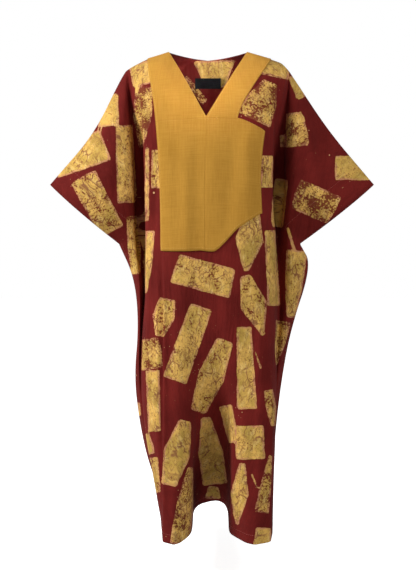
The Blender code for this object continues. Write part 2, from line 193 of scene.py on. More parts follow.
# Rounding of each bend, and the grids: coarse for laying the cloth flat, fine for the finished cloth
SOFT_ROUNDING = 0.42
COLUMN_ROUNDING = {
    "left": (0.42, 0.42, 0.30, 0.42, 0.14, 0.35, 0.35, 0.40, 0.42, 0.42),
    "right": (0.42, 0.42, 0.16, 0.42, 0.14, 0.35, 0.35, 0.40, 0.42, 0.42),
}
ROW_ROUNDING = 0.50
ROUNDING_SAMPLES = 9
COARSE_ROWS = (2, 3, 3, 3, 4, 3, 3, 3, 3, 3, 3)
COARSE_COLUMNS = (2, 4, 2, 3, 3, 3, 3, 3, 3)
FINE_ROWS = (6, 12, 16, 22, 30, 22, 22, 26, 26, 28, 30)
FINE_COLUMNS = {"front": (6, 10, 8, 13, 14, 10, 9, 11, 11), "back": (6, 6, 6, 8, 8, 9, 9, 10, 10)}
SIDES = {"left": -1, "right": 1}

# Creases as pressed or pulled into the cloth, seen from the front: where each starts and ends, how far
# its crest stands out of the cloth (less than nothing for a trough), and its width.
CREASE_COLUMNS = ("x", "z", "x_end", "z_end", "rise", "width")
CREASES = {
    "front": (
        (-0.086, -0.150, -0.090, -0.575, -0.0036, 0.020),
        (-0.062, -0.330, -0.060, -0.570, 0.0018, 0.013),
        (-0.036, -0.170, -0.020, -0.600, -0.0024, 0.020),
        (0.024, -0.200, 0.010, -0.420, 0.0016, 0.018),
        (0.078, -0.160, 0.052, -0.520, -0.0030, 0.020),
        (-0.131, -0.545, -0.134, -1.345, -0.0130, 0.0055),
        (-0.119, -0.560, -0.122, -1.320, 0.0040, 0.008),
        (-0.146, -0.260, -0.150, -0.520, -0.0050, 0.010),
        (0.200, -0.085, 0.204, -0.500, -0.0180, 0.012),
        (-0.198, -0.110, -0.192, -0.640, -0.0180, 0.010),
        (0.146, -0.480, 0.176, -0.960, -0.0070, 0.010),
        (-0.112, -0.060, -0.104, -0.200, 0.0020, 0.018),
        (0.105, -0.230, 0.112, -0.400, 0.0022, 0.016),
        (-0.070, -0.580, -0.095, -1.000, 0.0035, 0.020),
        (-0.040, -0.620, -0.020, -1.040, -0.0035, 0.022),
        (-0.104, -0.640, -0.100, -1.300, -0.0030, 0.016),
        (0.050, -0.560, 0.060, -0.980, 0.0035, 0.022),
        (0.110, -0.620, 0.125, -1.260, -0.0040, 0.020),
        (0.142, -0.760, 0.150, -1.300, 0.0030, 0.014),
        (0.098, -0.980, 0.100, -1.340, 0.0040, 0.018),
        (-0.075, -1.000, -0.070, -1.340, 0.0040, 0.018),
        (-0.168, -0.560, -0.172, -1.020, 0.0040, 0.016),
        (-0.255, -0.120, -0.330, -0.330, 0.0050, 0.022),
        (-0.300, -0.170, -0.405, -0.350, -0.0045, 0.020),
        (-0.235, -0.200, -0.262, -0.440, -0.0050, 0.018),
        (-0.345, -0.290, -0.290, -0.420, 0.0040, 0.016),
        (0.262, -0.110, 0.300, -0.330, 0.0060, 0.024),
        (0.300, -0.180, 0.345, -0.400, -0.0060, 0.022),
        (0.330, -0.190, 0.420, -0.340, 0.0045, 0.020),
        (0.262, -0.300, 0.282, -0.500, -0.0045, 0.018),
        (0.355, -0.240, 0.300, -0.290, -0.0035, 0.014),
    ),
    "back": (
        (-0.060, -0.120, -0.085, -0.620, 0.0050, 0.030),
        (0.050, -0.150, 0.070, -0.700, -0.0050, 0.028),
        (0.000, -0.300, 0.010, -1.050, 0.0045, 0.032),
        (-0.120, -0.420, -0.140, -1.250, -0.0060, 0.028),
        (0.130, -0.380, 0.150, -1.280, 0.0060, 0.026),
        (-0.050, -0.760, -0.060, -1.330, -0.0055, 0.026),
        (0.080, -0.800, 0.085, -1.330, -0.0050, 0.024),
        (0.020, -0.900, 0.030, -1.340, 0.0050, 0.022),
        (-0.250, -0.130, -0.330, -0.380, 0.0060, 0.026),
        (-0.220, -0.250, -0.260, -0.480, -0.0060, 0.024),
        (-0.330, -0.220, -0.400, -0.360, -0.0045, 0.020),
        (0.250, -0.130, 0.340, -0.380, 0.0060, 0.026),
        (0.230, -0.260, 0.262, -0.480, -0.0060, 0.024),
        (0.345, -0.220, 0.420, -0.360, -0.0045, 0.020),
    ),
}
CREASE_FADE = 0.35
CREASE_END_STEEPNESS = 1.15
CREASE_END_POWER = 3

# The wax blocks that show: the middle's place in the picture in pixels, then in millimetres
# the widths at top and bottom, the height, how much wider the middle is and the rounding of the corners,
# how far the top leans to the right in degrees, and how much of the wax has cracked off.
BLOCK_COLUMNS = ("across", "down", "top", "bottom", "height", "bulge", "corner", "lean", "cracked")
BLOCKS = (
    (141, 74, 56, 58, 62, 0, 4, -14, 0.25),
    (142.5, 117, 48, 10, 168, 22, 4, 3, 0.70),
    (108, 110, 58, 58, 88, 0, 3, -3, 0.25),
    (79, 154, 150, 156, 88, 0, 3, -19, 0.20),
    (97.5, 204, 76, 70, 172, 0, 4, -28, 0.55),
    (125.5, 164, 46, 52, 214, 2, 5, -2, 0.40),
    (134, 245, 30, 26, 160, 8, 4, -4, 0.50),
    (147, 184, 10, 10, 205, 2, 2, 0, 0.30),
    (158, 169, 34, 38, 106, 0, 4, 0, 0.50),
    (148, 262, 24, 5, 172, 10, 3, 4, 0.15),
    (276, 69, 70, 78, 44, 0, 4, 12, 0.30),
    (262, 101, 40, 100, 114, 14, 4, 24, 0.68),
    (297, 87, 24, 26, 66, 0, 3, -22, 0.15),
    (296, 129.5, 46, 68, 94, 2, 4, -5, 0.60),
    (267, 171.5, 30, 34, 88, 0, 3, 2, 0.35),
    (249.5, 240, 34, 14, 174, 54, 5, 6, 0.30),
    (272, 268, 30, 34, 208, 0, 3, -3, 0.20),
    (279, 203, 36, 34, 132, 2, 4, 6, 0.30),
    (283, 141, 16, 16, 34, 0, 3, 0, 0.20),
    (291, 239, 8, 8, 66, 0, 2, -18, 0.30),
    (355, 168, 108, 112, 66, 0, 3, 0, 0.10),
    (315, 202, 122, 106, 84, 8, 5, 24, 0.72),
    (294, 284, 58, 24, 186, 8, 5, 5, 0.35),
    (203.5, 276, 160, 170, 82, 0, 6, 15, 0.40),
    (254, 305.5, 28, 6, 172, 58, 6, -17, 0.45),
    (163.5, 317.5, 44, 22, 106, 28, 4, 12, 0.50),
    (188, 343.5, 62, 68, 216, 0, 5, 20, 0.35),
    (211.5, 376, 46, 44, 212, 28, 9, 21, 0.40),
    (245.5, 368, 40, 55, 226, 0, 4, -2, 0.20),
    (149.5, 354, 60, 62, 84, 8, 6, -8, 0.55),
    (153.5, 401, 38, 34, 168, 0, 3, -2, 0.20),
    (279, 343, 46, 10, 122, 8, 3, 10, 0.65),
    (271, 408, 26, 14, 100, 8, 3, -8, 0.50),
    (229.5, 424, 36, 24, 104, 2, 4, -12, 0.15),
    (250, 442.5, 78, 80, 92, 0, 5, -2, 0.20),
    (177, 453, 34, 40, 184, 38, 5, 14, 0.20),
    (210.5, 451, 26, 68, 188, 20, 4, -8, 0.10),
    (185, 506, 14, 54, 216, 14, 4, 8, 0.60),
    (239.5, 494, 16, 8, 170, 38, 3, 5, 0.15),
    (266, 484, 8, 40, 160, 6, 3, 9, 0.60),
    (254.5, 481, 5, 3, 42, 0, 1, -22, 0.00),
    (259.5, 487.5, 24, 24, 5, 0, 1, 8, 0.00),
    (258, 360, 4, 6, 48, 0, 1, -20, 0.40),
    (263, 537, 40, 52, 50, 0, 3, 4, 0.20),
    (148, 444, 24, 20, 58, 4, 3, -18, 0.10),
    (155, 475, 30, 18, 98, 0, 3, -8, 0.50),
    (213, 492.5, 28, 44, 34, 0, 3, 0, 0.20),
    (139, 409, 10, 8, 36, 0, 2, -8, 0.10),
    (215, 74, 116, 54, 74, 0, 4, -3, 0.15),
    (195, 90, 14, 22, 92, 0, 3, -38, 0.75),
)

# How far over the flat cloth a shown block may reach for its size, how sharp a corner may count when its
# edges are moved inward, and how near the cloth a line of sight ends
BLOCK_REACH = 1.6
SHARPEST_CORNER = 0.4
SIGHT_MARGIN = 0.003

# The blocks on cloth that the camera doesn't see: the lattice that they lie on, how far they stray from it,
# and the ranges of their sizes in metres, of their lean in degrees and of how much wax has cracked off
BLOCK_SEED = 11
BLOCK_SPACING = (0.120, 0.195)
BLOCK_MARGIN = 0.05
BLOCK_STRAY = 0.018
BLOCK_CLEARANCE = 0.050
HIDDEN_RANGES = {
    "width": (0.050, 0.095), "taper": (0.8, 1.2), "height": (0.10, 0.19),
    "lean": (-32, 32), "corner": (0.003, 0.007), "cracked": (0.1, 0.9),
}
HIDDEN_BULGE = (0.0, 0.3)


def mix(a, b, share):
    """The point at this share of the way from a to b."""
    return np.asarray(a, float) * (1 - share) + np.asarray(b, float) * share


def section_row(side, row):
    """The named widths and heights of one section of a half, with the sleeve's lines worked out."""
    if row <= UNDERARM:
        found = dict(zip(UPPER_COLUMNS, UPPER[side][row]))
        share = CUFF_SHARE[row]
        found["wing"], found["wing_z"] = mix(SHOULDER_APEX[side], SLEEVE_FOLD_END[side], share)
        found["seam"], found["seam_z"] = mix(SLEEVE_TIP[side], UNDERARM_CORNER[side], share)
        return found
    found = dict(zip(LOWER_COLUMNS, LOWER[side][row - UNDERARM - 1]))
    found["lip_z"] = found["z"]
    found["wing_z"] = mix(found["z"], found["seam_z"], WING_DROP)
    return found


def inner_edge(side, row, is_front):
    """The point where a section begins: on the neck edge, or on the middle line below it."""
    middle = FRONT_MIDDLE if is_front else BACK_MIDDLE
    if row >= NECKLINE:
        return np.array(middle[row - NECKLINE])
    share = (NECK_SHARE if is_front else BACK_NECK_SHARE)[row]
    fullness = 0.0 if is_front else BACK_NECK_FULLNESS
    point = mix((SIDES[side] * NECK_HALF_WIDTH, 0.0, 0.0), middle[0], share)
    point[1] = middle[0][1] * (1 - (1 - share) ** 2) + fullness * share * (1 - share)
    return point


def control_net(side, is_front):
    """The half's net: for each section, a point on each column."""
    depths = FRONT_DEPTHS if is_front else BACK_DEPTHS
    net = np.zeros((len(SECTIONS), len(COLUMNS), 3))
    for row in range(len(SECTIONS)):
        size = section_row(side, row)
        depth = dict(zip(DEPTH_COLUMNS, depths[row]))
        start = inner_edge(side, row, is_front)
        outward = SIDES[side]
        lip = np.array((outward * size["lip"], depth["lip"], size["lip_z"]))
        fold = np.array((outward * size["fold"], depth["fold"], size["fold_z"]))
        wing = np.array((outward * size["wing"], depth["wing"], size["wing_z"]))
        seam = np.array((outward * size["seam"], depth["seam"], size["seam_z"]))
        drops = {name: fold[2] + share * (wing[2] - fold[2]) for name, share in FRONT_SIDE_DROP.items()}
        if not is_front and row > 0:
            drops = {name: start[2] + share * (wing[2] - start[2]) for name, share in BACK_DROP.items()}
            lip[2] = drops["lip"]
            fold[2] = drops["fold"]
        deep = np.clip((start[1] - lip[1]) / DEEPEST_GROOVE, 0.0, 1.0) if is_front else 0.0
        groove = mix(start, lip, 0.5)
        groove[0] = mix(start[0], lip[0], 0.5 + GROOVE_SPREAD * deep)
        groove[1] = mix(start[1], lip[1], 0.5 - GROOVE_SINK * deep)
        face = mix(lip, fold, 0.5)
        face[1] = depth["face"]
        sleeve = mix(wing, seam, 0.5)
        if row < UNDERARM:
            along = (seam - wing)[[0, 2]] / np.linalg.norm((seam - wing)[[0, 2]])
            sag = RIDGE_SAG[side] * (1 - CUFF_SHARE[row])
            sleeve += np.array((along[1], 0.0, -along[0])) * sag * outward
        sleeve[1] = depth["sleeve"]
        middle_columns = (
            (outward * size["side"], depth["side"], drops["side"]),
            (outward * size["hollow"], depth["hollow"], drops["hollow"]),
        )
        net[row] = (start, groove, lip, face, fold, *middle_columns, wing, sleeve, seam)
    return net


def between(table, row, column):
    """A table's values at fractional rows and columns, straight from point to point."""
    r = np.minimum(row.astype(int), table.shape[0] - 2)
    c = np.minimum(column.astype(int), table.shape[1] - 2)
    down = (row - r)[..., None]
    across = (column - c)[..., None]
    upper = table[r, c] * (1 - across) + table[r, c + 1] * across
    lower = table[r + 1, c] * (1 - across) + table[r + 1, c + 1] * across
    return upper * (1 - down) + lower * down


def read_net(net, rows, columns):
    """Points of both halves' net, whose columns are counted outward from its middle line."""
    row = np.clip(rows, 0, net.shape[0] - 1)
    column = np.clip(columns + len(COLUMNS) - 1, 0, net.shape[1] - 1)
    return between(net, row, column)


def cloth_points(side, is_front, rows, columns):
    """Points of a half: its net with each bend rounded, but for the cloth's edges and the underarm corner."""
    other = "left" if side == "right" else "right"
    own_net = control_net(side, is_front)
    net = np.concatenate((control_net(other, is_front)[:, :0:-1], own_net), axis=1)
    last_row = len(SECTIONS) - 1
    last_column = len(COLUMNS) - 1
    creased = np.clip((rows - CHEST) / 2, 0.0, 1.0)
    own_rounding = np.interp(columns, np.arange(len(COLUMNS)), COLUMN_ROUNDING[side])
    across = SOFT_ROUNDING + (own_rounding - SOFT_ROUNDING) * creased
    below_neck = np.maximum(rows - NECKLINE, 0.0)
    across = np.minimum(across, np.minimum(columns + below_neck, last_column - columns))
    down = np.minimum(ROW_ROUNDING, np.minimum(rows, last_row - rows))
    down = np.minimum(down, np.abs(rows - UNDERARM) + (last_column - columns))
    down = np.minimum(down, np.abs(rows - NECKLINE) + columns)
    offsets = (np.arange(ROUNDING_SAMPLES) + 0.5) / ROUNDING_SAMPLES * 2 - 1
    total = np.zeros(rows.shape + (3,))
    for a in offsets:
        for b in offsets:
            total += read_net(net, rows + a * down, columns + b * across)
    total /= ROUNDING_SAMPLES**2
    total[..., 1] += (-0.5 if is_front else 0.5) * SEAM_GAP
    return total


def crease_height(is_front, points, rows, columns):
    """How far the creases lift each point out of the cloth, held flat at shoulders, cuffs and side seams."""
    height = np.zeros(rows.shape)
    for crease in CREASES["front" if is_front else "back"]:
        size = dict(zip(CREASE_COLUMNS, crease))
        start = np.array((size["x"], size["z"]))
        along = np.array((size["x_end"], size["z_end"])) - start
        away = points[..., [0, 2]] - start
        share = np.clip((away @ along) / (along @ along), 0.0, 1.0)
        distance = np.linalg.norm(away - share[..., None] * along, axis=-1)
        ends = CREASE_END_STEEPNESS * (1 - np.abs(2 * share - 1) ** CREASE_END_POWER)
        height += size["rise"] * np.clip(ends, 0.0, 1.0) * np.exp(-((distance / size["width"]) ** 2))
    held = np.minimum(rows, len(COLUMNS) - 1 - columns) / CREASE_FADE
    return height * np.clip(held, 0.0, 1.0)


def grid_lines(steps):
    """Fractional positions of the grid's lines, with this many steps in each stretch."""
    lines = [start + k / count for start, count in enumerate(steps) for k in range(count)]
    return np.array(lines + [float(len(steps))])


def grid_triangles(numbers, as_listed):
    """Each cell of a grid of point numbers as two triangles, always parted along the same diagonal."""
    a, b, c, d = numbers[:-1, :-1], numbers[1:, :-1], numbers[1:, 1:], numbers[:-1, 1:]
    pair = ((a, b, c), (a, c, d)) if as_listed else ((c, b, a), (d, c, a))
    return np.stack([np.stack(corners, axis=-1) for corners in pair], axis=2).reshape(-1, 3)


def joined_grid(row_lines, column_count, as_listed):
    """Both halves' grids of point numbers, which share their middle line from the neckline down, with each
    point's side, row and column, and the triangles."""
    joined_from = int(np.argmin(np.abs(row_lines - NECKLINE)))
    numbers, places, triangles = {}, [], []
    for side, outward in SIDES.items():
        numbers[side] = np.zeros((len(row_lines), column_count), dtype=int)
        for r in range(len(row_lines)):
            for c in range(column_count):
                if side == "right" and c == 0 and r >= joined_from:
                    numbers[side][r, c] = numbers["left"][r, c]
                else:
                    numbers[side][r, c] = len(places)
                    places.append((side, r, c))
        triangles.append(grid_triangles(numbers[side], (outward > 0) == as_listed))
    return numbers, places, np.concatenate(triangles)


def point_normals(points, triangles):
    """The direction out of the cloth at each point."""
    a, b, c = (points[triangles[:, k]] for k in range(3))
    face_normals = np.cross(b - a, c - a)
    normals = np.zeros_like(points)
    for k in range(3):
        np.add.at(normals, triangles[:, k], face_normals)
    return normals / np.linalg.norm(normals, axis=1, keepdims=True)


class Sheet:
    """The front or the back as a grid: its lines, points, outward triangles, normals and flat places."""

    def __init__(self, is_front, row_steps, column_steps, creased=True):
        self.row_lines = grid_lines(row_steps)
        self.column_lines = grid_lines(column_steps)
        self.numbers, own, self.triangles = joined_grid(self.row_lines, len(self.column_lines), is_front)
        rows, columns = np.meshgrid(self.row_lines, self.column_lines, indexing="ij")
        surfaces = {side: cloth_points(side, is_front, rows, columns) for side in SIDES}
        self.points = np.array([surfaces[side][r, c] for side, r, c in own])
        self.places = np.array([(rows[r, c], columns[r, c], SIDES[side]) for side, r, c in own])
        self.normals = point_normals(self.points, self.triangles)
        if creased:
            lift = crease_height(is_front, self.points, self.places[:, 0], self.places[:, 1])
            self.points += self.normals * lift[:, None]
            self.normals = point_normals(self.points, self.triangles)
            self.level_seam_normals()

    def level_seam_normals(self):
        """Turns the normals along shoulder and side seams square to Y, so that the two walls meet flat."""
        underarm_row = int(np.argmin(np.abs(self.row_lines - UNDERARM)))
        for side, outward in SIDES.items():
            shoulder = self.numbers[side][0]
            side_seam = self.numbers[side][underarm_row:, -1]
            for line in (shoulder, side_seam):
                along = np.gradient(self.points[line], axis=0)
                square = np.stack((-along[:, 2], np.zeros(len(line)), along[:, 0]), axis=1) * outward
                self.normals[line] = square / np.linalg.norm(square, axis=1, keepdims=True)

    def read(self, side, values, rows, columns):
        """A side's values at fractional rows and columns, straight between the grid's points."""
        row = np.interp(rows, self.row_lines, np.arange(len(self.row_lines)))
        column = np.interp(columns, self.column_lines, np.arange(len(self.column_lines)))
        return between(values[self.numbers[side]], row, column)


# Laying flat: how often the links pull, how strongly, and the least length that one is taken to have
FLATTEN_ROUNDS = 2500
FLATTEN_PULL = 1.4
SHORTEST_LINK = 1e-9


def lay_flat(sheet):
    """Lays a coarse sheet flat: each point's place on the uncut cloth, keeping the distances along it."""
    flat = np.zeros((len(sheet.points), 2))
    links = set()
    for side, outward in SIDES.items():
        numbers = sheet.numbers[side]
        table = sheet.points[numbers]
        steps = np.linalg.norm(np.diff(table[..., :2], axis=1), axis=-1)
        walked = np.concatenate((np.zeros((len(table), 1)), np.cumsum(steps, axis=1)), axis=1)
        flat[numbers, 0] = outward * walked + table[:, :1, 0]
        flat[numbers, 1] = table[..., 2]
        for near, far in (
            (numbers[:-1], numbers[1:]),
            (numbers[:, :-1], numbers[:, 1:]),
            (numbers[:-1, :-1], numbers[1:, 1:]),
            (numbers[:-1, 1:], numbers[1:, :-1]),
        ):
            links.update(zip(near.ravel().tolist(), far.ravel().tolist()))
    a, b = np.array(sorted(links)).T
    lengths = np.linalg.norm(sheet.points[a] - sheet.points[b], axis=1)
    count = len(flat)
    pulls = np.bincount(a, minlength=count) + np.bincount(b, minlength=count)
    for _ in range(FLATTEN_ROUNDS):
        apart = flat[b] - flat[a]
        now = np.linalg.norm(apart, axis=1)
        pull = apart * ((now - lengths) / 2 / np.maximum(now, SHORTEST_LINK))[:, None]
        for axis in range(2):
            moved = np.bincount(a, pull[:, axis], count) - np.bincount(b, pull[:, axis], count)
            flat[:, axis] += FLATTEN_PULL * moved / pulls
    return flat


def flat_places(sheet, coarse, coarse_flat):
    """The flat places of the fine sheet's points, read from the coarse one."""
    flat = np.zeros((len(sheet.points), 2))
    for side, outward in SIDES.items():
        chosen = sheet.places[:, 2] == outward
        rows, columns = sheet.places[chosen, 0], sheet.places[chosen, 1]
        flat[chosen] = coarse.read(side, coarse_flat, rows, columns)
    return flat


def flat_area(flat, triangles):
    """The area of the flat cloth."""
    a, b, c = (flat[triangles[:, k]] for k in range(3))
    first, second = b - a, c - a
    return float(np.abs(first[:, 0] * second[:, 1] - first[:, 1] * second[:, 0]).sum() / 2)


def on_picture(across, down):
    """A place in the picture, given in pixels, as metres on its plane to the right and up of its middle."""
    return (across - PICTURE_SIZE[0] / 2) * PIXEL, (PICTURE_SIZE[1] / 2 - down) * PIXEL


def sight_line(across, down):
    """The direction from the eye through a place in the picture."""
    x, y = on_picture(across, down)
    return (AHEAD * PICTURE_DISTANCE + TO_THE_RIGHT * x + UPWARD * y).normalized()


def picture_places(points):
    """Where each point lies on the picture's plane, in metres to the right and up of its middle."""
    away = points - np.array(EYE)
    across = away @ np.array(TO_THE_RIGHT)
    up = away @ np.array(UPWARD)
    return np.stack((across, up), axis=1) * (PICTURE_DISTANCE / (away @ np.array(AHEAD)))[:, None]


def sheet_tree(sheet):
    return BVHTree.FromPolygons(sheet.points.tolist(), sheet.triangles.tolist())


def seen_place(sheet, tree, across, down):
    """The flat place on the sheet that shows at a place in the picture, and its distance, if any."""
    point, _, number, distance = tree.ray_cast(EYE, sight_line(across, down))
    if point is None:
        return None, math.inf
    corners = sheet.triangles[number]
    cloth = [Vector(sheet.points[k]) for k in corners]
    flat = [Vector((*sheet.flat[k], 0.0)) for k in corners]
    place = geometry.barycentric_transform(point, *cloth, *flat)
    return np.array(place[:2]), distance


def block_outline(top, bottom, height, bulge, lean):
    """The six corners of a block round its own middle, x to the right and y up."""
    middle = (top + bottom) / 2 + bulge
    corners = np.array((
        (-top / 2, height / 2), (top / 2, height / 2), (middle / 2, 0.0),
        (bottom / 2, -height / 2), (-bottom / 2, -height / 2), (-middle / 2, 0.0),
    ))
    turn = math.radians(lean)
    turned = np.array(((math.cos(turn), math.sin(turn)), (-math.sin(turn), math.cos(turn))))
    return corners @ turned.T


def moved_inward(corners, amount):
    """The corners of a block with each of its edges moved inward."""
    following = np.roll(corners, -1, axis=0)
    edges = following - corners
    turning = np.sign((corners[:, 0] * following[:, 1] - following[:, 0] * corners[:, 1]).sum())
    inward = np.stack((-edges[:, 1], edges[:, 0]), axis=1) * turning
    inward /= np.linalg.norm(inward, axis=1, keepdims=True)
    halfway = inward + np.roll(inward, 1, axis=0)
    halfway /= np.linalg.norm(halfway, axis=1, keepdims=True)
    reach = amount / np.maximum((halfway * inward).sum(axis=1), SHARPEST_CORNER)
    return corners + halfway * reach[:, None]


def distance_to_block(flat, corners, rounding):
    """The distance from each flat place to a block's edge, less than nothing inside it, round at corners."""
    core = moved_inward(corners, rounding)
    nearest = np.full(len(flat), np.inf)
    inside = np.zeros(len(flat), bool)
    for start, end in zip(core, np.roll(core, -1, axis=0)):
        along = end - start
        away = flat - start
        share = np.clip((away @ along) / (along @ along), 0.0, 1.0)
        nearest = np.minimum(nearest, np.linalg.norm(away - share[:, None] * along, axis=1))
        if start[1] != end[1]:
            passes = (flat[:, 1] < start[1]) != (flat[:, 1] < end[1])
            crossing = start[0] + (flat[:, 1] - start[1]) * along[0] / along[1]
            inside ^= passes & (flat[:, 0] < crossing)
    return np.where(inside, -nearest, nearest) - rounding


def seen_points(sheet, trees):
    """Which of the sheet's points show from the eye."""
    seen = np.zeros(len(sheet.points), bool)
    for k, point in enumerate(sheet.points):
        to_point = Vector(point) - EYE
        reach = to_point.length - SIGHT_MARGIN
        seen[k] = all(tree.ray_cast(EYE, to_point.normalized(), reach)[0] is None for tree in trees)
    return seen


def hidden_blocks(sheet, seen, rng):
    """Blocks like the shown ones over the cloth that the camera doesn't see, on a loose lattice."""
    low = sheet.flat.min(axis=0)
    high = sheet.flat.max(axis=0)
    found = []
    for number, y in enumerate(np.arange(low[1] + BLOCK_MARGIN, high[1], BLOCK_SPACING[1])):
        shift = BLOCK_SPACING[0] * (0.5 if number % 2 else 0.0)
        for x in np.arange(low[0] + shift, high[0] + BLOCK_MARGIN, BLOCK_SPACING[0]):
            middle = np.array((x, y)) + rng.uniform(-BLOCK_STRAY, BLOCK_STRAY, 2)
            size = {name: rng.uniform(*ends) for name, ends in HIDDEN_RANGES.items()}
            width = size["width"]
            away = np.linalg.norm(sheet.flat - middle, axis=1)
            if away.min() > BLOCK_CLEARANCE or seen[away < BLOCK_CLEARANCE + width / 2].any():
                continue
            bulge = width * rng.uniform(*HIDDEN_BULGE)
            outline = block_outline(width, width * size["taper"], size["height"], bulge, size["lean"])
            found.append((middle + outline, size["corner"], size["cracked"]))
    return found


def distance_to_shown(sheet, tree, places, block):
    """The distance from each point to a listed block's edge: as the picture shows it, and no farther
    over the flat cloth than the block can reach."""
    size = dict(zip(BLOCK_COLUMNS, block))
    outline = block_outline(size["top"], size["bottom"], size["height"], size["bulge"], size["lean"]) / 1000
    shown_middle = np.array(on_picture(size["across"], size["down"]))
    flat_middle, _ = seen_place(sheet, tree, size["across"], size["down"])
    reach = BLOCK_REACH * np.linalg.norm(outline, axis=1).max()
    away = np.linalg.norm(sheet.flat - flat_middle, axis=1)
    return np.maximum(distance_to_block(places, shown_middle + outline, size["corner"] / 1000), away - reach)


def print_values(sheet, tree, shown, hidden):
    """For each point the distance to the nearest block's edge, and how cracked that block is."""
    places = picture_places(sheet.points)
    found = [(distance_to_shown(sheet, tree, places, block), block[-1]) for block in shown]
    for corners, rounding, amount in hidden:
        found.append((distance_to_block(sheet.flat, corners, rounding), amount))
    nearest = np.full(len(sheet.flat), 1.0)
    cracked = np.zeros(len(sheet.flat))
    for distance, amount in found:
        cracked = np.where(distance < nearest, amount, cracked)
        nearest = np.minimum(nearest, distance)
    return nearest, cracked


# Mesh making


def closed_wall(outer, inner, triangles):
    """The vertices and faces of the wall between an outer and an inner set of points."""
    count = len(outer)
    faces = [tuple(int(k) for k in triangle) for triangle in triangles]
    edges = {(t[k], t[(k + 1) % 3]) for t in faces for k in range(3)}
    faces += [(count + c, count + b, count + a) for a, b, c in faces]
    for start, end in sorted(edges):
        if (end, start) not in edges:
            faces.append((end, start, count + start, count + end))
    return np.concatenate((outer, inner)), faces


def cloth_object(name, outer, inner, triangles, flat, material):
    """A closed wall of cloth, with its flat places in metres as its UV map."""
    vertices, faces = closed_wall(outer, inner, triangles)
    mesh = bpy.data.meshes.new(name)
    mesh.from_pydata(vertices.tolist(), [], faces)
    mesh.shade_smooth()
    mesh.materials.append(material)
    layer = mesh.uv_layers.new(name="cloth")
    corners = np.zeros(len(mesh.loops), dtype=np.int32)
    mesh.loops.foreach_get("vertex_index", corners)
    layer.data.foreach_set("uv", flat[corners % len(flat)].astype(np.float32).ravel())
    made = bpy.data.objects.new(name, mesh)
    bpy.context.scene.collection.objects.link(made)
    return made


def make_sheet_object(name, sheet, printed, material):
    """The finished front or back: a thin closed wall that carries its print."""
    inner = sheet.points - sheet.normals * CLOTH_THICKNESS
    made = cloth_object(name, sheet.points, inner, sheet.triangles, sheet.flat, material)
    for value_name, values in zip(("block_distance", "cracked"), printed):
        attribute = made.data.attributes.new(value_name, "FLOAT", "POINT")
        attribute.data.foreach_set("value", np.tile(values, 2).astype(np.float32))
    return made


# The chest panel on the front's grid: its lines down the strap, round the corner and down the body, its lines
# across, its rounded corner, and how far each column's bottom edge drops
STRAP_LINES = 48
CORNER_LINES = 12
BODY_LINES = 50
PANEL_COLUMNS = 34
PANEL_CORNER_ROWS = 0.10
PANEL_CORNER_POWER = 1.6
PANEL_EDGE_DROP = {"left": (0.045, 0.0, 0.0, 0.0, 0.0), "right": (0.045, 0.040, 0.010, 0.0, 0.0)}
LIP = COLUMNS.index("lip")
FOLD = COLUMNS.index("fold")


def panel_outer_column(side, row):
    """The column of the panel's outer edge: the fold, and the lip beside the right strap."""
    if side == "left":
        return float(FOLD)
    if row < NECKLINE:
        return float(LIP)
    reached = min((row - NECKLINE) / PANEL_CORNER_ROWS, 1.0)
    return LIP + (FOLD - LIP) * (1 - (1 - reached) ** PANEL_CORNER_POWER) ** (1 / PANEL_CORNER_POWER)


def panel_rows(side, row, columns):
    """The rows along a line of the panel, lower towards its bottom edge, which runs straight to a corner."""
    drop = np.interp(columns, np.arange(FOLD + 1), PANEL_EDGE_DROP[side])
    return row + drop * np.maximum(0.0, (row - CHEST) / (UNDERARM - CHEST))


def panel_row_lines():
    """The panel's row lines, closer together at the rounded corner."""
    strap = np.linspace(0, NECKLINE, STRAP_LINES)
    turn = np.linspace(0, math.pi / 2, CORNER_LINES)[1:]
    corner = NECKLINE + PANEL_CORNER_ROWS * (1 - np.cos(turn))
    body = np.linspace(NECKLINE + PANEL_CORNER_ROWS, UNDERARM, BODY_LINES)[1:]
    return np.concatenate((strap, corner, body))


def make_chest_panel(front, material):
    """The panel: a closed wall over the front's own surface, as thick as its turned edges."""
    row_lines = panel_row_lines()
    _, own, triangles = joined_grid(row_lines, PANEL_COLUMNS, True)
    kinds = (front.points, front.normals, front.flat)
    laid = {}
    for side in SIDES:
        outer_columns = np.array([panel_outer_column(side, row) for row in row_lines])
        columns = np.linspace(0, 1, PANEL_COLUMNS) * outer_columns[:, None]
        rows = panel_rows(side, row_lines[:, None], columns)
        laid[side] = [front.read(side, values, rows, columns) for values in kinds]
    points, normals, flat = (np.array([laid[side][k][r, c] for side, r, c in own]) for k in range(3))
    normals /= np.linalg.norm(normals, axis=1, keepdims=True)
    inner = points + normals * PANEL_LIFT
    outer = inner + normals * PANEL_THICKNESS
    return cloth_object("panel_cloth", outer, inner, triangles, flat, material), flat, triangles


# Neck label on the back's inner side
LABEL_HALF_WIDTH = 0.038
LABEL_TOP = -0.060
LABEL_HEIGHT = 0.030
LABEL_STEPS = (36, 16)
LABEL_LIFT = 0.0007
LABEL_THICKNESS = 0.0009
LABEL_BOW = 0.0012


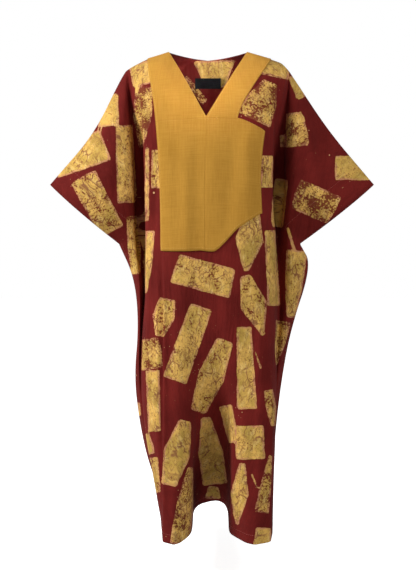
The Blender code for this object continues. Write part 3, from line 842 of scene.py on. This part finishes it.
def make_neck_label(back, material):
    """A bare woven label on the back's inner side, whose middle stands off the cloth a little."""
    inner_points = back.points - back.normals * CLOTH_THICKNESS
    tree = BVHTree.FromPolygons(inner_points.tolist(), back.triangles.tolist())
    across, down = (np.linspace(0, 1, steps + 1) for steps in LABEL_STEPS)
    down, across = np.meshgrid(down, across, indexing="ij")
    triangles = grid_triangles(np.arange(down.size).reshape(down.shape), True)
    x = LABEL_HALF_WIDTH * (2 * across - 1)
    z = LABEL_TOP - LABEL_HEIGHT * down
    flat = np.stack((x, z), axis=-1).reshape(-1, 2)
    backward = Vector((0.0, 1.0, 0.0))
    starts = [Vector((across_at, 0.0, up_at)) for across_at, up_at in flat]
    on_cloth = np.array([tree.ray_cast(start, backward)[0] for start in starts])
    bow = LABEL_BOW * np.sin(math.pi * across) * np.sin(math.pi * down)
    forward = -np.array(backward)
    near = on_cloth + forward * (LABEL_LIFT + bow.reshape(-1, 1))
    outer = near + forward * LABEL_THICKNESS
    return cloth_object("label_cloth", outer, near, triangles, flat, material)


# Node building


def set_input(tree, socket, value):
    """Sets an input to a plain value, or links a socket or a signal to it."""
    if isinstance(value, Signal):
        value = value.socket
    if isinstance(value, bpy.types.NodeSocket):
        tree.links.new(value, socket)
    else:
        socket.default_value = value


def add(tree, kind, settings=None, **inputs):
    """Adds a node. Settings are its own options; an input is a value, or a socket or signal to link from."""
    node = tree.nodes.new(kind)
    for name, value in (settings or {}).items():
        setattr(node, name, value)
    for name, value in inputs.items():
        set_input(tree, node.inputs[name.replace("_", " ")], value)
    return node


def add_sockets(tree, in_out, kinds):
    """Gives a node group its inputs or its outputs, from their names and kinds."""
    for name, kind in kinds.items():
        tree.interface.new_socket(name, in_out=in_out, socket_type="NodeSocket" + kind)


class Signal:
    """A number, place or colour that a shader works out. Each step from it adds the node that takes it."""

    def __init__(self, tree, socket):
        self.tree = tree
        self.socket = socket

    def maths(self, operation, other=0.0, clamped=False):
        """One step of arithmetic, with another signal or a plain number."""
        node = add(self.tree, "ShaderNodeMath", {"operation": operation, "use_clamp": clamped})
        set_input(self.tree, node.inputs[0], self)
        set_input(self.tree, node.inputs[1], other)
        return Signal(self.tree, node.outputs["Value"])

    def __add__(self, other):
        return self.maths("ADD", other)

    def __sub__(self, other):
        return self.maths("SUBTRACT", other)

    def __rsub__(self, other):
        return self * -1.0 + other

    def __mul__(self, other):
        return self.maths("MULTIPLY", other)

    def __abs__(self):
        return self.maths("ABSOLUTE")

    def ramp(self, start, end, smooth=False):
        """The value's way from start to end, as 0 to 1, held inside them."""
        settings = {"interpolation_type": "SMOOTHSTEP" if smooth else "LINEAR"}
        node = add(self.tree, "ShaderNodeMapRange", settings, Value=self, From_Min=start, From_Max=end)
        return Signal(self.tree, node.outputs["Result"])

    def axes(self):
        """A place's two parts."""
        node = add(self.tree, "ShaderNodeSeparateXYZ", Vector=self)
        return Signal(self.tree, node.outputs["X"]), Signal(self.tree, node.outputs["Y"])

    def stretched(self, across, down, shift=0.0):
        """The place with its two directions scaled, for marks that run one way."""
        node = add(self.tree, "ShaderNodeMapping", Vector=self, Scale=(across, down, 1.0),
                   Location=(shift, shift, 0.0))
        return Signal(self.tree, node.outputs["Vector"])

    def noise(self, scale, detail=2.0, roughness=0.5, distortion=0.0):
        """Noise at this place, as 0 to 1."""
        node = add(self.tree, "ShaderNodeTexNoise", Vector=self, Scale=scale, Detail=detail,
                   Roughness=roughness, Distortion=distortion)
        return Signal(self.tree, node.outputs["Fac"])

    def cell_edges(self, scale):
        """The distance to the nearest edge between scattered cells."""
        settings = {"feature": "DISTANCE_TO_EDGE"}
        node = add(self.tree, "ShaderNodeTexVoronoi", settings, Vector=self, Scale=scale)
        return Signal(self.tree, node.outputs["Distance"])

    def cells(self, scale):
        """The distance to the middle of the nearest cell, and two random numbers that go with the cell."""
        node = add(self.tree, "ShaderNodeTexVoronoi", {"feature": "F1"}, Vector=self, Scale=scale)
        chances = add(self.tree, "ShaderNodeSeparateColor", Color=node.outputs["Color"]).outputs
        sockets = (node.outputs["Distance"], chances["Red"], chances["Green"])
        return [Signal(self.tree, socket) for socket in sockets]


def blend(share, first, second):
    """Two colours mixed by a share."""
    node = add(share.tree, "ShaderNodeMix", {"data_type": "RGBA"}, Factor=share)
    for socket, colour in ((node.inputs[6], first), (node.inputs[7], second)):
        set_input(share.tree, socket, colour if isinstance(colour, Signal) else (*colour, 1.0))
    return Signal(share.tree, node.outputs[2])


# Stitches
TOPSTITCH_PITCH = 0.0036
TOPSTITCH_LENGTH = 0.0026
THREAD_WIDTH = 0.00055
STITCH_LIFT = 0.00015
STITCH_SEGMENTS = 6
STITCH_RINGS = 4


def stitch_tree():
    """Geometry Nodes tree: lays one small stitch after another along the edges of a mesh."""
    tree = bpy.data.node_groups.new("lay_stitches", "GeometryNodeTree")
    add_sockets(tree, "INPUT", {
        "Seam": "Geometry", "Pitch": "Float", "Stitch length": "Float", "Thread width": "Float",
        "Thread": "Material",
    })
    add_sockets(tree, "OUTPUT", {"Stitches": "Geometry"})
    given = tree.nodes.new("NodeGroupInput").outputs
    result = tree.nodes.new("NodeGroupOutput")
    curve = add(tree, "GeometryNodeMeshToCurve", Mesh=given["Seam"]).outputs["Curve"]
    spaced = add(tree, "GeometryNodeResampleCurve", {"mode": "LENGTH"}, Curve=curve, Length=given["Pitch"])
    ball = add(tree, "GeometryNodeMeshUVSphere", Segments=STITCH_SEGMENTS, Rings=STITCH_RINGS, Radius=0.5)
    size = add(tree, "ShaderNodeCombineXYZ", X=given["Thread width"], Y=given["Thread width"],
               Z=given["Stitch length"])
    stitch = add(tree, "GeometryNodeTransform", Geometry=ball.outputs["Mesh"], Scale=size.outputs["Vector"])
    tangent = add(tree, "GeometryNodeInputTangent").outputs["Tangent"]
    turn = add(tree, "FunctionNodeAlignRotationToVector", {"axis": "Z"}, Vector=tangent)
    placed = add(tree, "GeometryNodeInstanceOnPoints", Points=spaced.outputs["Curve"],
                 Instance=stitch.outputs["Geometry"], Rotation=turn.outputs["Rotation"])
    real = add(tree, "GeometryNodeRealizeInstances", Geometry=placed.outputs["Instances"])
    sewn = add(tree, "GeometryNodeSetMaterial", Geometry=real.outputs["Geometry"], Material=given["Thread"])
    set_input(tree, result.inputs["Stitches"], sewn.outputs["Geometry"])
    return tree


def sew(name, seams, tree, thread):
    """Stitches along a list of seam lines, as one plain mesh."""
    points, edges = [], []
    for seam in seams:
        edges += [(len(points) + k, len(points) + k + 1) for k in range(len(seam) - 1)]
        points += [tuple(point) for point in seam]
    guide = bpy.data.meshes.new(name)
    guide.from_pydata(points, edges, [])
    made = bpy.data.objects.new(name, guide)
    bpy.context.scene.collection.objects.link(made)
    modifier = made.modifiers.new("stitches", "NODES")
    modifier.node_group = tree
    sockets = {item.name: item.identifier for item in tree.interface.items_tree if item.in_out == "INPUT"}
    modifier[sockets["Pitch"]] = TOPSTITCH_PITCH
    modifier[sockets["Stitch length"]] = TOPSTITCH_LENGTH
    modifier[sockets["Thread width"]] = THREAD_WIDTH
    modifier[sockets["Thread"]] = thread
    graph = bpy.context.evaluated_depsgraph_get()
    stitched = bpy.data.meshes.new_from_object(made.evaluated_get(graph))
    made.modifiers.clear()
    made.data = stitched
    bpy.data.meshes.remove(guide)
    made.data.shade_smooth()
    return made


def seam_line(sheet, side, rows, columns, lift=STITCH_LIFT):
    """Points just over the sheet's outer side, along fractional rows and columns."""
    rows, columns = np.broadcast_arrays(np.asarray(rows, float), np.asarray(columns, float))
    on_cloth = sheet.read(side, sheet.points, rows, columns)
    out_of = sheet.read(side, sheet.normals, rows, columns)
    return on_cloth + out_of * lift


def inset_lines(sheet, side, depth, places, axis):
    """The fractional rows this far above the hem, with axis 0, or with axis 1 the columns this far in from
    the cuff or the side seam, at places along it."""
    table = np.moveaxis(sheet.points[sheet.numbers[side]], axis, 0)
    lines = (sheet.row_lines, sheet.column_lines)
    steps = np.linalg.norm(np.diff(table, axis=0), axis=-1)
    to_edge = np.concatenate((np.cumsum(steps[::-1], axis=0)[::-1], np.zeros((1, steps.shape[1]))))
    at_lines = [np.interp(-depth, -to_edge[:, k], lines[axis]) for k in range(steps.shape[1])]
    return np.interp(places, lines[1 - axis], at_lines)


# Seam lines: where they start and how far in they run, in rows and columns, and the points along each
CUFF_START = 0.02
PANEL_START = 0.04
PANEL_BOTTOM_INSET = 0.05
PANEL_NECK_INSET = 0.09
PANEL_SIDE_INSET = 0.10
SHORT_SEAM = 120
LONG_SEAM = 200
PANEL_SIDE_SEAM = 260
PANEL_BOTTOM_SEAM = 90


def sheet_seams(sheet):
    """The hem's, cuffs' and side seams' stitch lines on the front or the back."""
    seams = []
    for side in SIDES:
        columns = np.linspace(0, len(COLUMNS) - 1, LONG_SEAM)
        rows = inset_lines(sheet, side, HEM_DEPTH, columns, axis=0)
        seams.append(seam_line(sheet, side, rows, columns))
        for start, end, count, depth in (
            (CUFF_START, UNDERARM, SHORT_SEAM, CUFF_HEM_DEPTH),
            (UNDERARM, len(SECTIONS) - 1, LONG_SEAM, SIDE_TOPSTITCH_INSET),
        ):
            rows = np.linspace(start, end, count)
            columns = inset_lines(sheet, side, depth, rows, axis=1)
            seams.append(seam_line(sheet, side, rows, columns))
    return seams


def panel_seams(front):
    """The chest panel's stitch lines, a little inside its turned edges and the neck."""
    lift = PANEL_LIFT + PANEL_THICKNESS + STITCH_LIFT
    bottom_row = UNDERARM - PANEL_BOTTOM_INSET
    seams = []
    for side in SIDES:
        rows = np.linspace(PANEL_START, bottom_row, PANEL_SIDE_SEAM)
        outer = np.array([panel_outer_column(side, row) for row in rows])
        seams.append(seam_line(front, side, rows, outer - PANEL_SIDE_INSET, lift))
        rows = np.linspace(PANEL_START, NECKLINE + PANEL_BOTTOM_INSET, SHORT_SEAM)
        seams.append(seam_line(front, side, rows, PANEL_NECK_INSET, lift))
        columns = np.linspace(0.0, FOLD - PANEL_SIDE_INSET, PANEL_BOTTOM_SEAM)
        seams.append(seam_line(front, side, panel_rows(side, bottom_row, columns), columns, lift))
    return seams


# Shaders: threads and thick threads in a metre, the scale of the thick ones along their length, and the
# depth of each bump
PRINT_THREADS = (1500.0, 500.0)
LINEN_THREADS = (1100.0, 340.0)
LABEL_THREADS = (2400.0, 900.0)
THREAD_STRETCH = 0.045
PRINT_BUMP = 0.0045
LINEN_BUMP = 0.0012
LABEL_BUMP = 0.0003


def weave_group():
    """Plain weave: threads over and under at a pitch, with thicker threads here and there each way."""
    tree = bpy.data.node_groups.new("plain_weave", "ShaderNodeTree")
    add_sockets(tree, "INPUT", {
        "Place": "Vector", "Threads per metre": "Float", "Thick threads per metre": "Float",
    })
    add_sockets(tree, "OUTPUT", {"Height": "Float", "Thick threads": "Float"})
    given = tree.nodes.new("NodeGroupInput").outputs
    result = tree.nodes.new("NodeGroupOutput").inputs
    place = Signal(tree, given["Place"])
    turn = Signal(tree, given["Threads per metre"]) * math.pi
    warp, weft = ((part * turn).maths("SINE") for part in place.axes())
    down = place.stretched(1.0, THREAD_STRETCH).noise(given["Thick threads per metre"], 3.0, 0.65)
    across = place.stretched(THREAD_STRETCH, 1.0).noise(given["Thick threads per metre"], 3.0, 0.65)
    both = (down + across) * 0.5
    set_input(tree, result["Height"], abs(warp * weft) * 0.35 + both)
    set_input(tree, result["Thick threads"], both)
    return tree


def new_material(name, roughness, sheen, specular):
    """A material, its node tree and its shader."""
    material = bpy.data.materials.new(name)
    material.use_nodes = True
    shader = material.node_tree.nodes["Principled BSDF"]
    shader.inputs["Roughness"].default_value = roughness
    shader.inputs["Sheen Weight"].default_value = sheen
    shader.inputs["Specular IOR Level"].default_value = specular
    return material, material.node_tree, shader


def cloth_place(tree):
    """The place on the uncut cloth, in metres."""
    return Signal(tree, add(tree, "ShaderNodeUVMap", {"uv_map": "cloth"}).outputs["UV"])


def point_value(tree, name):
    """A named value that each point of the cloth carries."""
    return Signal(tree, add(tree, "ShaderNodeAttribute", {"attribute_name": name}).outputs["Fac"])


def woven(place, group, threads, thick_threads):
    """The weave's height and its thick threads at a place, from the threads in a metre."""
    node = add(place.tree, "ShaderNodeGroup", {"node_tree": group}, Place=place,
               Threads_per_metre=threads, Thick_threads_per_metre=thick_threads)
    return [Signal(place.tree, node.outputs[name]) for name in ("Height", "Thick threads")]


def finish_cloth(shader, colour, height, depth):
    """Gives a material its colour, and a bump of this depth from a height."""
    bump = add(colour.tree, "ShaderNodeBump", Height=height, Distance=depth, Strength=1.0)
    set_input(colour.tree, shader.inputs["Base Color"], colour)
    set_input(colour.tree, shader.inputs["Normal"], bump.outputs["Normal"])


# Dye and wax colours
MAROON = (0.156, 0.0134, 0.0105)
MAROON_DEEP = (0.098, 0.0076, 0.0063)
WAX_OCHRE = (0.670, 0.400, 0.096)
WAX_OLIVE = (0.440, 0.280, 0.058)
WAX_PALE = (0.800, 0.580, 0.210)
WAX_EDGE = (0.480, 0.180, 0.120)
CRACK_BROWN = (0.170, 0.050, 0.030)
SPLASH = (0.720, 0.420, 0.190)

# The print's marks on the cloth, in metres: how far a block's edge strays in large and in small, how soft
# it is, where its browned rim lies and fades, how far cracks bend, and how near a block the specks lie
EDGE_WANDER = 0.0055
EDGE_RAGGEDNESS = 0.0026
EDGE_SOFTNESS = 0.0006
RIM_DEPTH = 0.0022
RIM_FADE = (0.0034, 0.0008)
CRACK_BEND = 0.035
SPECK_REACH = (0.050, 0.005)

# How strongly each mark colours the wax or the dyed ground
PALE_SHARE = 0.6
RIM_SHARE = 0.75
CRACK_SHARE = 0.80
FINE_CRACK_SHARE = 0.55
LOSS_SHARE = 0.9
SPLASH_SHARE = 0.85
STREAK_SHARE = 0.25

# Noise patterns: scale, detail, and where it is not plain, roughness and distortion
WANDER_NOISE = (42, 3.0)
RAGGED_NOISE = (260, 2.0)
RIM_NOISE = (24, 2.0)
WASH_NOISE = (15, 3.0, 0.6)
PALE_NOISE = (75, 3.0, 0.6)
WIDE_CRACK_NOISE = (21, 2.0)
FINE_CRACK_NOISE = (17, 2.0, 0.5, 0.4)
STROKE_NOISE = (200, 4.0, 0.75)
STROKE_PLACE_NOISE = (20, 2.0)
LOSS_NOISE = (30, 2.0)
GRAIN_NOISE = (170, 3.0, 0.62)
PEPPER_PLACE_NOISE = (24, 3.0)
GROUND_NOISE = (8, 3.0, 0.6)
STREAK_NOISE = (150, 2.0)
SPECK_PLACE_NOISE = (12, 1.0)
RUMPLE_NOISE = (26, 4.0, 0.55, 0.5)
RIPPLE_NOISE = (62, 2.0, 0.5, 0.3)
RIPPLE_PLACE_NOISE = (5, 1.0)


def print_material(weave):
    """Maroon cotton with the ochre blocks that the wax kept: cracked, peppered and browned at the edges."""
    material, tree, shader = new_material("print_cotton", roughness=0.88, sheen=0.01, specular=0.08)
    place = cloth_place(tree)
    distance = point_value(tree, "block_distance")

    wander = (place.noise(*WANDER_NOISE) - 0.5) * EDGE_WANDER
    ragged = (place.noise(*RAGGED_NOISE) - 0.5) * EDGE_RAGGEDNESS
    edge = distance + wander + ragged
    wax = edge.ramp(EDGE_SOFTNESS, -EDGE_SOFTNESS, smooth=True)
    rim = abs(edge + RIM_DEPTH).ramp(*RIM_FADE, smooth=True) * place.noise(*RIM_NOISE).ramp(0.35, 0.60)

    wash = place.noise(*WASH_NOISE).ramp(0.35, 0.66, smooth=True)
    pale = place.stretched(1.0, 0.4, 3.1).noise(*PALE_NOISE).ramp(0.52, 0.72)
    body = blend(pale * PALE_SHARE, blend(wash, WAX_OCHRE, WAX_OLIVE), WAX_PALE)

    bent = add(tree, "ShaderNodeTexNoise", Vector=place, Scale=30.0, Detail=2.0).outputs["Color"]
    bend = add(tree, "ShaderNodeVectorMath", {"operation": "SCALE"}, Vector=bent, Scale=CRACK_BEND)
    moved = add(tree, "ShaderNodeVectorMath", {"operation": "ADD"}, Vector=place)
    set_input(tree, moved.inputs[1], bend.outputs["Vector"])
    crooked = Signal(tree, moved.outputs["Vector"])
    wide = crooked.stretched(1.0, 0.55).cell_edges(34).ramp(0.055, 0.018)
    wide = wide * place.noise(*WIDE_CRACK_NOISE).ramp(0.46, 0.58)
    fine = crooked.stretched(1.0, 0.7, 5.3).cell_edges(88).ramp(0.11, 0.04)
    fine = fine * place.noise(*FINE_CRACK_NOISE).ramp(0.50, 0.62)
    cracks = (fine * FINE_CRACK_SHARE).maths("ADD", wide, clamped=True)
    strokes = crooked.stretched(1.0, 0.45, 2.3).noise(*STROKE_NOISE).ramp(0.50, 0.60)
    strokes = strokes * (place.noise(*STROKE_PLACE_NOISE).ramp(0.32, 0.66) * 0.5 + 0.28)
    body = blend(strokes, body, CRACK_BROWN)
    body = blend(rim * RIM_SHARE, body, WAX_EDGE)
    body = blend(cracks * CRACK_SHARE, body, CRACK_BROWN)

    loss = point_value(tree, "cracked") * 0.24
    gone = place.noise(*LOSS_NOISE) * 0.46 + place.noise(*GRAIN_NOISE) * 0.54 + loss
    grains, _, _ = place.cells(210)
    pepper = grains.ramp(0.34, 0.22) * (place.noise(*PEPPER_PLACE_NOISE) + loss).ramp(0.58, 0.70)
    lost = gone.ramp(0.655, 0.69).maths("MAXIMUM", pepper)

    ground = place.noise(*GROUND_NOISE).ramp(0.30, 0.70, smooth=True)
    streak = place.stretched(1.0, 0.06).noise(*STREAK_NOISE).ramp(0.35, 0.65)
    ground = ground * (1 - STREAK_SHARE) + streak * STREAK_SHARE
    dyed = blend(ground, MAROON, MAROON_DEEP)
    body = blend(lost * LOSS_SHARE, body, dyed)

    drop, chance, size = place.cells(27)
    drop = (drop - size * 0.05).ramp(0.035, 0.015) * chance.ramp(0.80, 0.81)
    speck, chance, _ = place.cells(130)
    near_block = distance.ramp(*SPECK_REACH) * place.noise(*SPECK_PLACE_NOISE).ramp(0.48, 0.60)
    speck = speck.ramp(0.16, 0.08) * chance.ramp(0.86, 0.87) * near_block
    dyed = blend(drop.maths("MAXIMUM", speck) * SPLASH_SHARE, dyed, SPLASH)

    threads, _ = woven(place, weave, *PRINT_THREADS)
    rumple = place.stretched(1.0, 0.6, 1.7).noise(*RUMPLE_NOISE)
    ripples = place.stretched(1.0, 0.10, 0.6).noise(*RIPPLE_NOISE)
    ripples = ripples * place.noise(*RIPPLE_PLACE_NOISE).ramp(0.30, 0.62)
    height = threads * 0.05 + rumple + ripples * 0.9
    finish_cloth(shader, blend(wax, dyed, body), height, PRINT_BUMP)
    return material


# Linen colours, the last of them painted shade along the pressed lines, and the pressed lines: how far below
# the V's point they start, their soft edges in metres from the line, and how gently the one down the middle
# begins
LINEN = (0.462, 0.236, 0.035)
LINEN_SHADE = (0.380, 0.184, 0.024)
LINEN_PRESSED_SHADE = (0.300, 0.120, 0.014)
PANEL_SEAM_DROP = 0.005
PRESSED_LINE = (0.0020, 0.0006)
PRESSED_START = (0.0, 0.010)


def panel_material(weave, v_place):
    """Ochre slub linen: thick threads show both ways, and two pressed lines start at the V's point, sunk in
    and darkened with painted shade.
    """
    material, tree, shader = new_material("slub_linen", roughness=0.9, sheen=0.02, specular=0.08)
    place = cloth_place(tree)
    across, up = place.axes()
    below_v = (v_place[1] - PANEL_SEAM_DROP) - up
    downward = abs(across - v_place[0]).ramp(*PRESSED_LINE) * below_v.ramp(*PRESSED_START)
    pressed = (downward * 0.8).maths("MAXIMUM", abs(below_v).ramp(*PRESSED_LINE))

    threads, thick = woven(place, weave, *LINEN_THREADS)
    tone = thick.ramp(0.42, 0.58) * 0.65 + place.noise(14, 3.0).ramp(0.3, 0.7) * 0.35
    # The pressed lines are darkened: painted shade in their grooves
    colour = blend(pressed * 0.16, blend(tone, LINEN_SHADE, LINEN), LINEN_PRESSED_SHADE)
    height = threads * 0.25 + place.noise(30, 3.0) - pressed * 0.5
    finish_cloth(shader, colour, height, LINEN_BUMP)
    return material


# The label's black, and the lighter tone of its thick threads, which is painted sheen of the satin
LABEL_BLACK = (0.004, 0.004, 0.005)
LABEL_PAINTED_SHEEN = (0.012, 0.012, 0.014)


def label_material(weave):
    """Black woven satin, bare; its thick threads are coloured a little lighter, which is painted sheen."""
    material, tree, shader = new_material("label_satin", roughness=0.8, sheen=0.0, specular=0.04)
    threads, thick = woven(cloth_place(tree), weave, *LABEL_THREADS)
    # The thick threads take the lighter tone: painted sheen
    finish_cloth(shader, blend(thick.ramp(0.40, 0.60), LABEL_BLACK, LABEL_PAINTED_SHEEN), threads, LABEL_BUMP)
    return material


# The dark and the light tone of each sewing thread
OCHRE_THREAD = ((0.58, 0.33, 0.06), (0.74, 0.46, 0.10))
MAROON_THREAD = ((0.36, 0.08, 0.06), (0.50, 0.13, 0.10))


def thread_material(name, tones):
    """Sewing thread, a little uneven in tone."""
    material, tree, shader = new_material(name, roughness=0.6, sheen=0.1, specular=0.4)
    where = Signal(tree, add(tree, "ShaderNodeTexCoord").outputs["Object"])
    colour = blend(where.noise(400, 2.0).ramp(0.35, 0.65), *tones)
    set_input(tree, shader.inputs["Base Color"], colour)
    return material


# The robe


def declare(cloth, node, flat, triangles, sewing):
    """Attaches a cloth piece and its sewing, and hides the part that it replaces; the size and area of its
    cut are worked out but not kept.
    """
    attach(cloth, "root")
    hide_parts(node)
    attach(sewing, "root")
    size = flat.max(axis=0) - flat.min(axis=0)
    flat_area(flat, triangles)


def make_robe():
    """Front, back, chest panel and label, each with its cloth and what it replaces, and sewing for all but
    the label.
    """
    weave = weave_group()
    print_cotton = print_material(weave)
    satin = label_material(weave)
    panel_thread = thread_material("ochre_thread", OCHRE_THREAD)
    cloth_thread = thread_material("maroon_thread", MAROON_THREAD)

    sheets = {}
    for name, is_front in (("front", True), ("back", False)):
        coarse = Sheet(is_front, COARSE_ROWS, COARSE_COLUMNS, creased=False)
        sheet = Sheet(is_front, FINE_ROWS, FINE_COLUMNS[name])
        sheet.flat = flat_places(sheet, coarse, lay_flat(coarse))
        sheets[name] = sheet
    trees = {name: sheet_tree(sheet) for name, sheet in sheets.items()}
    shown = {name: [] for name in sheets}
    for block in BLOCKS:
        distances = {name: seen_place(sheets[name], trees[name], *block[:2])[1] for name in sheets}
        name = min(distances, key=distances.get)
        if distances[name] < math.inf:
            shown[name].append(block)
    rng = np.random.default_rng(BLOCK_SEED)
    stitches = stitch_tree()
    cloths = {}
    for name, sheet in sheets.items():
        hidden = hidden_blocks(sheet, seen_points(sheet, trees.values()), rng)
        printed = print_values(sheet, trees[name], shown[name], hidden)
        cloths[name] = make_sheet_object(f"{name}_cloth", sheet, printed, print_cotton)
        sewing = sew(f"{name}_stitches", sheet_seams(sheet), stitches, cloth_thread)
        declare(cloths[name], name, sheet.flat, sheet.triangles, sewing)

    front = sheets["front"]
    v_place = front.read("right", front.flat, np.array([NECKLINE]), np.array([0.0]))[0]
    linen = panel_material(weave, v_place.tolist())
    panel, flat, triangles = make_chest_panel(front, linen)
    sewing = sew("panel_stitches", panel_seams(front), stitches, panel_thread)
    declare(panel, "chest_panel", flat, triangles, sewing)

    label = make_neck_label(sheets["back"], satin)
    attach(label, "root")
    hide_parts("neck_label")


# Stage, lights and camera
FLOOR_DROP = 0.12
FLOOR_SIZE = 14.0
FLOOR_GLOW = 0.92
FLOOR_COLOUR = (0.93, 0.93, 0.93, 1.0)
WHITE = (1.0, 1.0, 1.0, 1.0)
AMBIENT = 0.09
SENSOR_WIDTH = 36.0

# Each lamp's place, what it is aimed at, its size in metres, power in watts and spread in degrees
LAMPS = {
    "left_lamp": ((-2.6, -1.0, 1.20), (0.0, -0.1, -0.60), 0.9, 135.0, 180),
    "right_lamp": ((1.5, -1.5, 0.90), (0.0, -0.1, -0.45), 0.8, 34.0, 180),
    "neck_lamp": ((0.0, -1.9, -0.30), (0.0, 0.06, -0.03), 0.25, 0.22, 9),
}


def seen_directly(tree):
    """1 where the camera looks straight at the surface, 0 where only light from it arrives."""
    return Signal(tree, add(tree, "ShaderNodeLightPath").outputs["Is Camera Ray"])


def make_stage():
    """A plain pale floor, a white surround, a soft lamp to each side and a small one on the back neck."""
    scene = bpy.context.scene
    floor_mesh = bpy.data.meshes.new("floor")
    half = FLOOR_SIZE / 2
    level = cad_box[0][2] - FLOOR_DROP
    corners = [(-half, -half, level), (half, -half, level), (half, half, level), (-half, half, level)]
    floor_mesh.from_pydata(corners, [], [(0, 1, 2, 3)])
    floor = bpy.data.objects.new("floor", floor_mesh)
    scene.collection.objects.link(floor)
    pale, tree, shader = new_material("pale_floor", roughness=0.9, sheen=0.0, specular=0.5)
    shader.inputs["Base Color"].default_value = FLOOR_COLOUR
    shader.inputs["Emission Color"].default_value = WHITE
    set_input(tree, shader.inputs["Emission Strength"], seen_directly(tree) * FLOOR_GLOW)
    floor_mesh.materials.append(pale)

    world = bpy.data.worlds.new("studio")
    scene.world = world
    world.use_nodes = True
    surround = world.node_tree.nodes["Background"]
    surround.inputs["Color"].default_value = WHITE
    strength = seen_directly(world.node_tree) * (1.0 - AMBIENT) + AMBIENT
    set_input(world.node_tree, surround.inputs["Strength"], strength)
    for name, (place, aim, size, power, spread) in LAMPS.items():
        lamp = bpy.data.objects.new(name, bpy.data.lights.new(name, "AREA"))
        lamp.data.size = size
        lamp.data.energy = power
        lamp.data.spread = math.radians(spread)
        lamp.location = place
        lamp.rotation_euler = (Vector(aim) - Vector(place)).to_track_quat("-Z", "Y").to_euler()
        scene.collection.objects.link(lamp)
    scene.view_settings.view_transform = "Standard"


def make_camera():
    """The camera that takes the photo's view: a little above the middle, looking slightly down."""
    camera = bpy.data.objects.new("camera", bpy.data.cameras.new("camera"))
    camera.data.sensor_width = SENSOR_WIDTH
    camera.data.lens = SENSOR_WIDTH * PICTURE_DISTANCE / (PICTURE_SIZE[1] * PIXEL)
    camera.location = EYE
    camera.rotation_euler = (LOOK_AT - EYE).to_track_quat("-Z", "Y").to_euler()
    bpy.context.scene.collection.objects.link(camera)
    bpy.context.scene.camera = camera


make_camera()
make_stage()
make_robe()
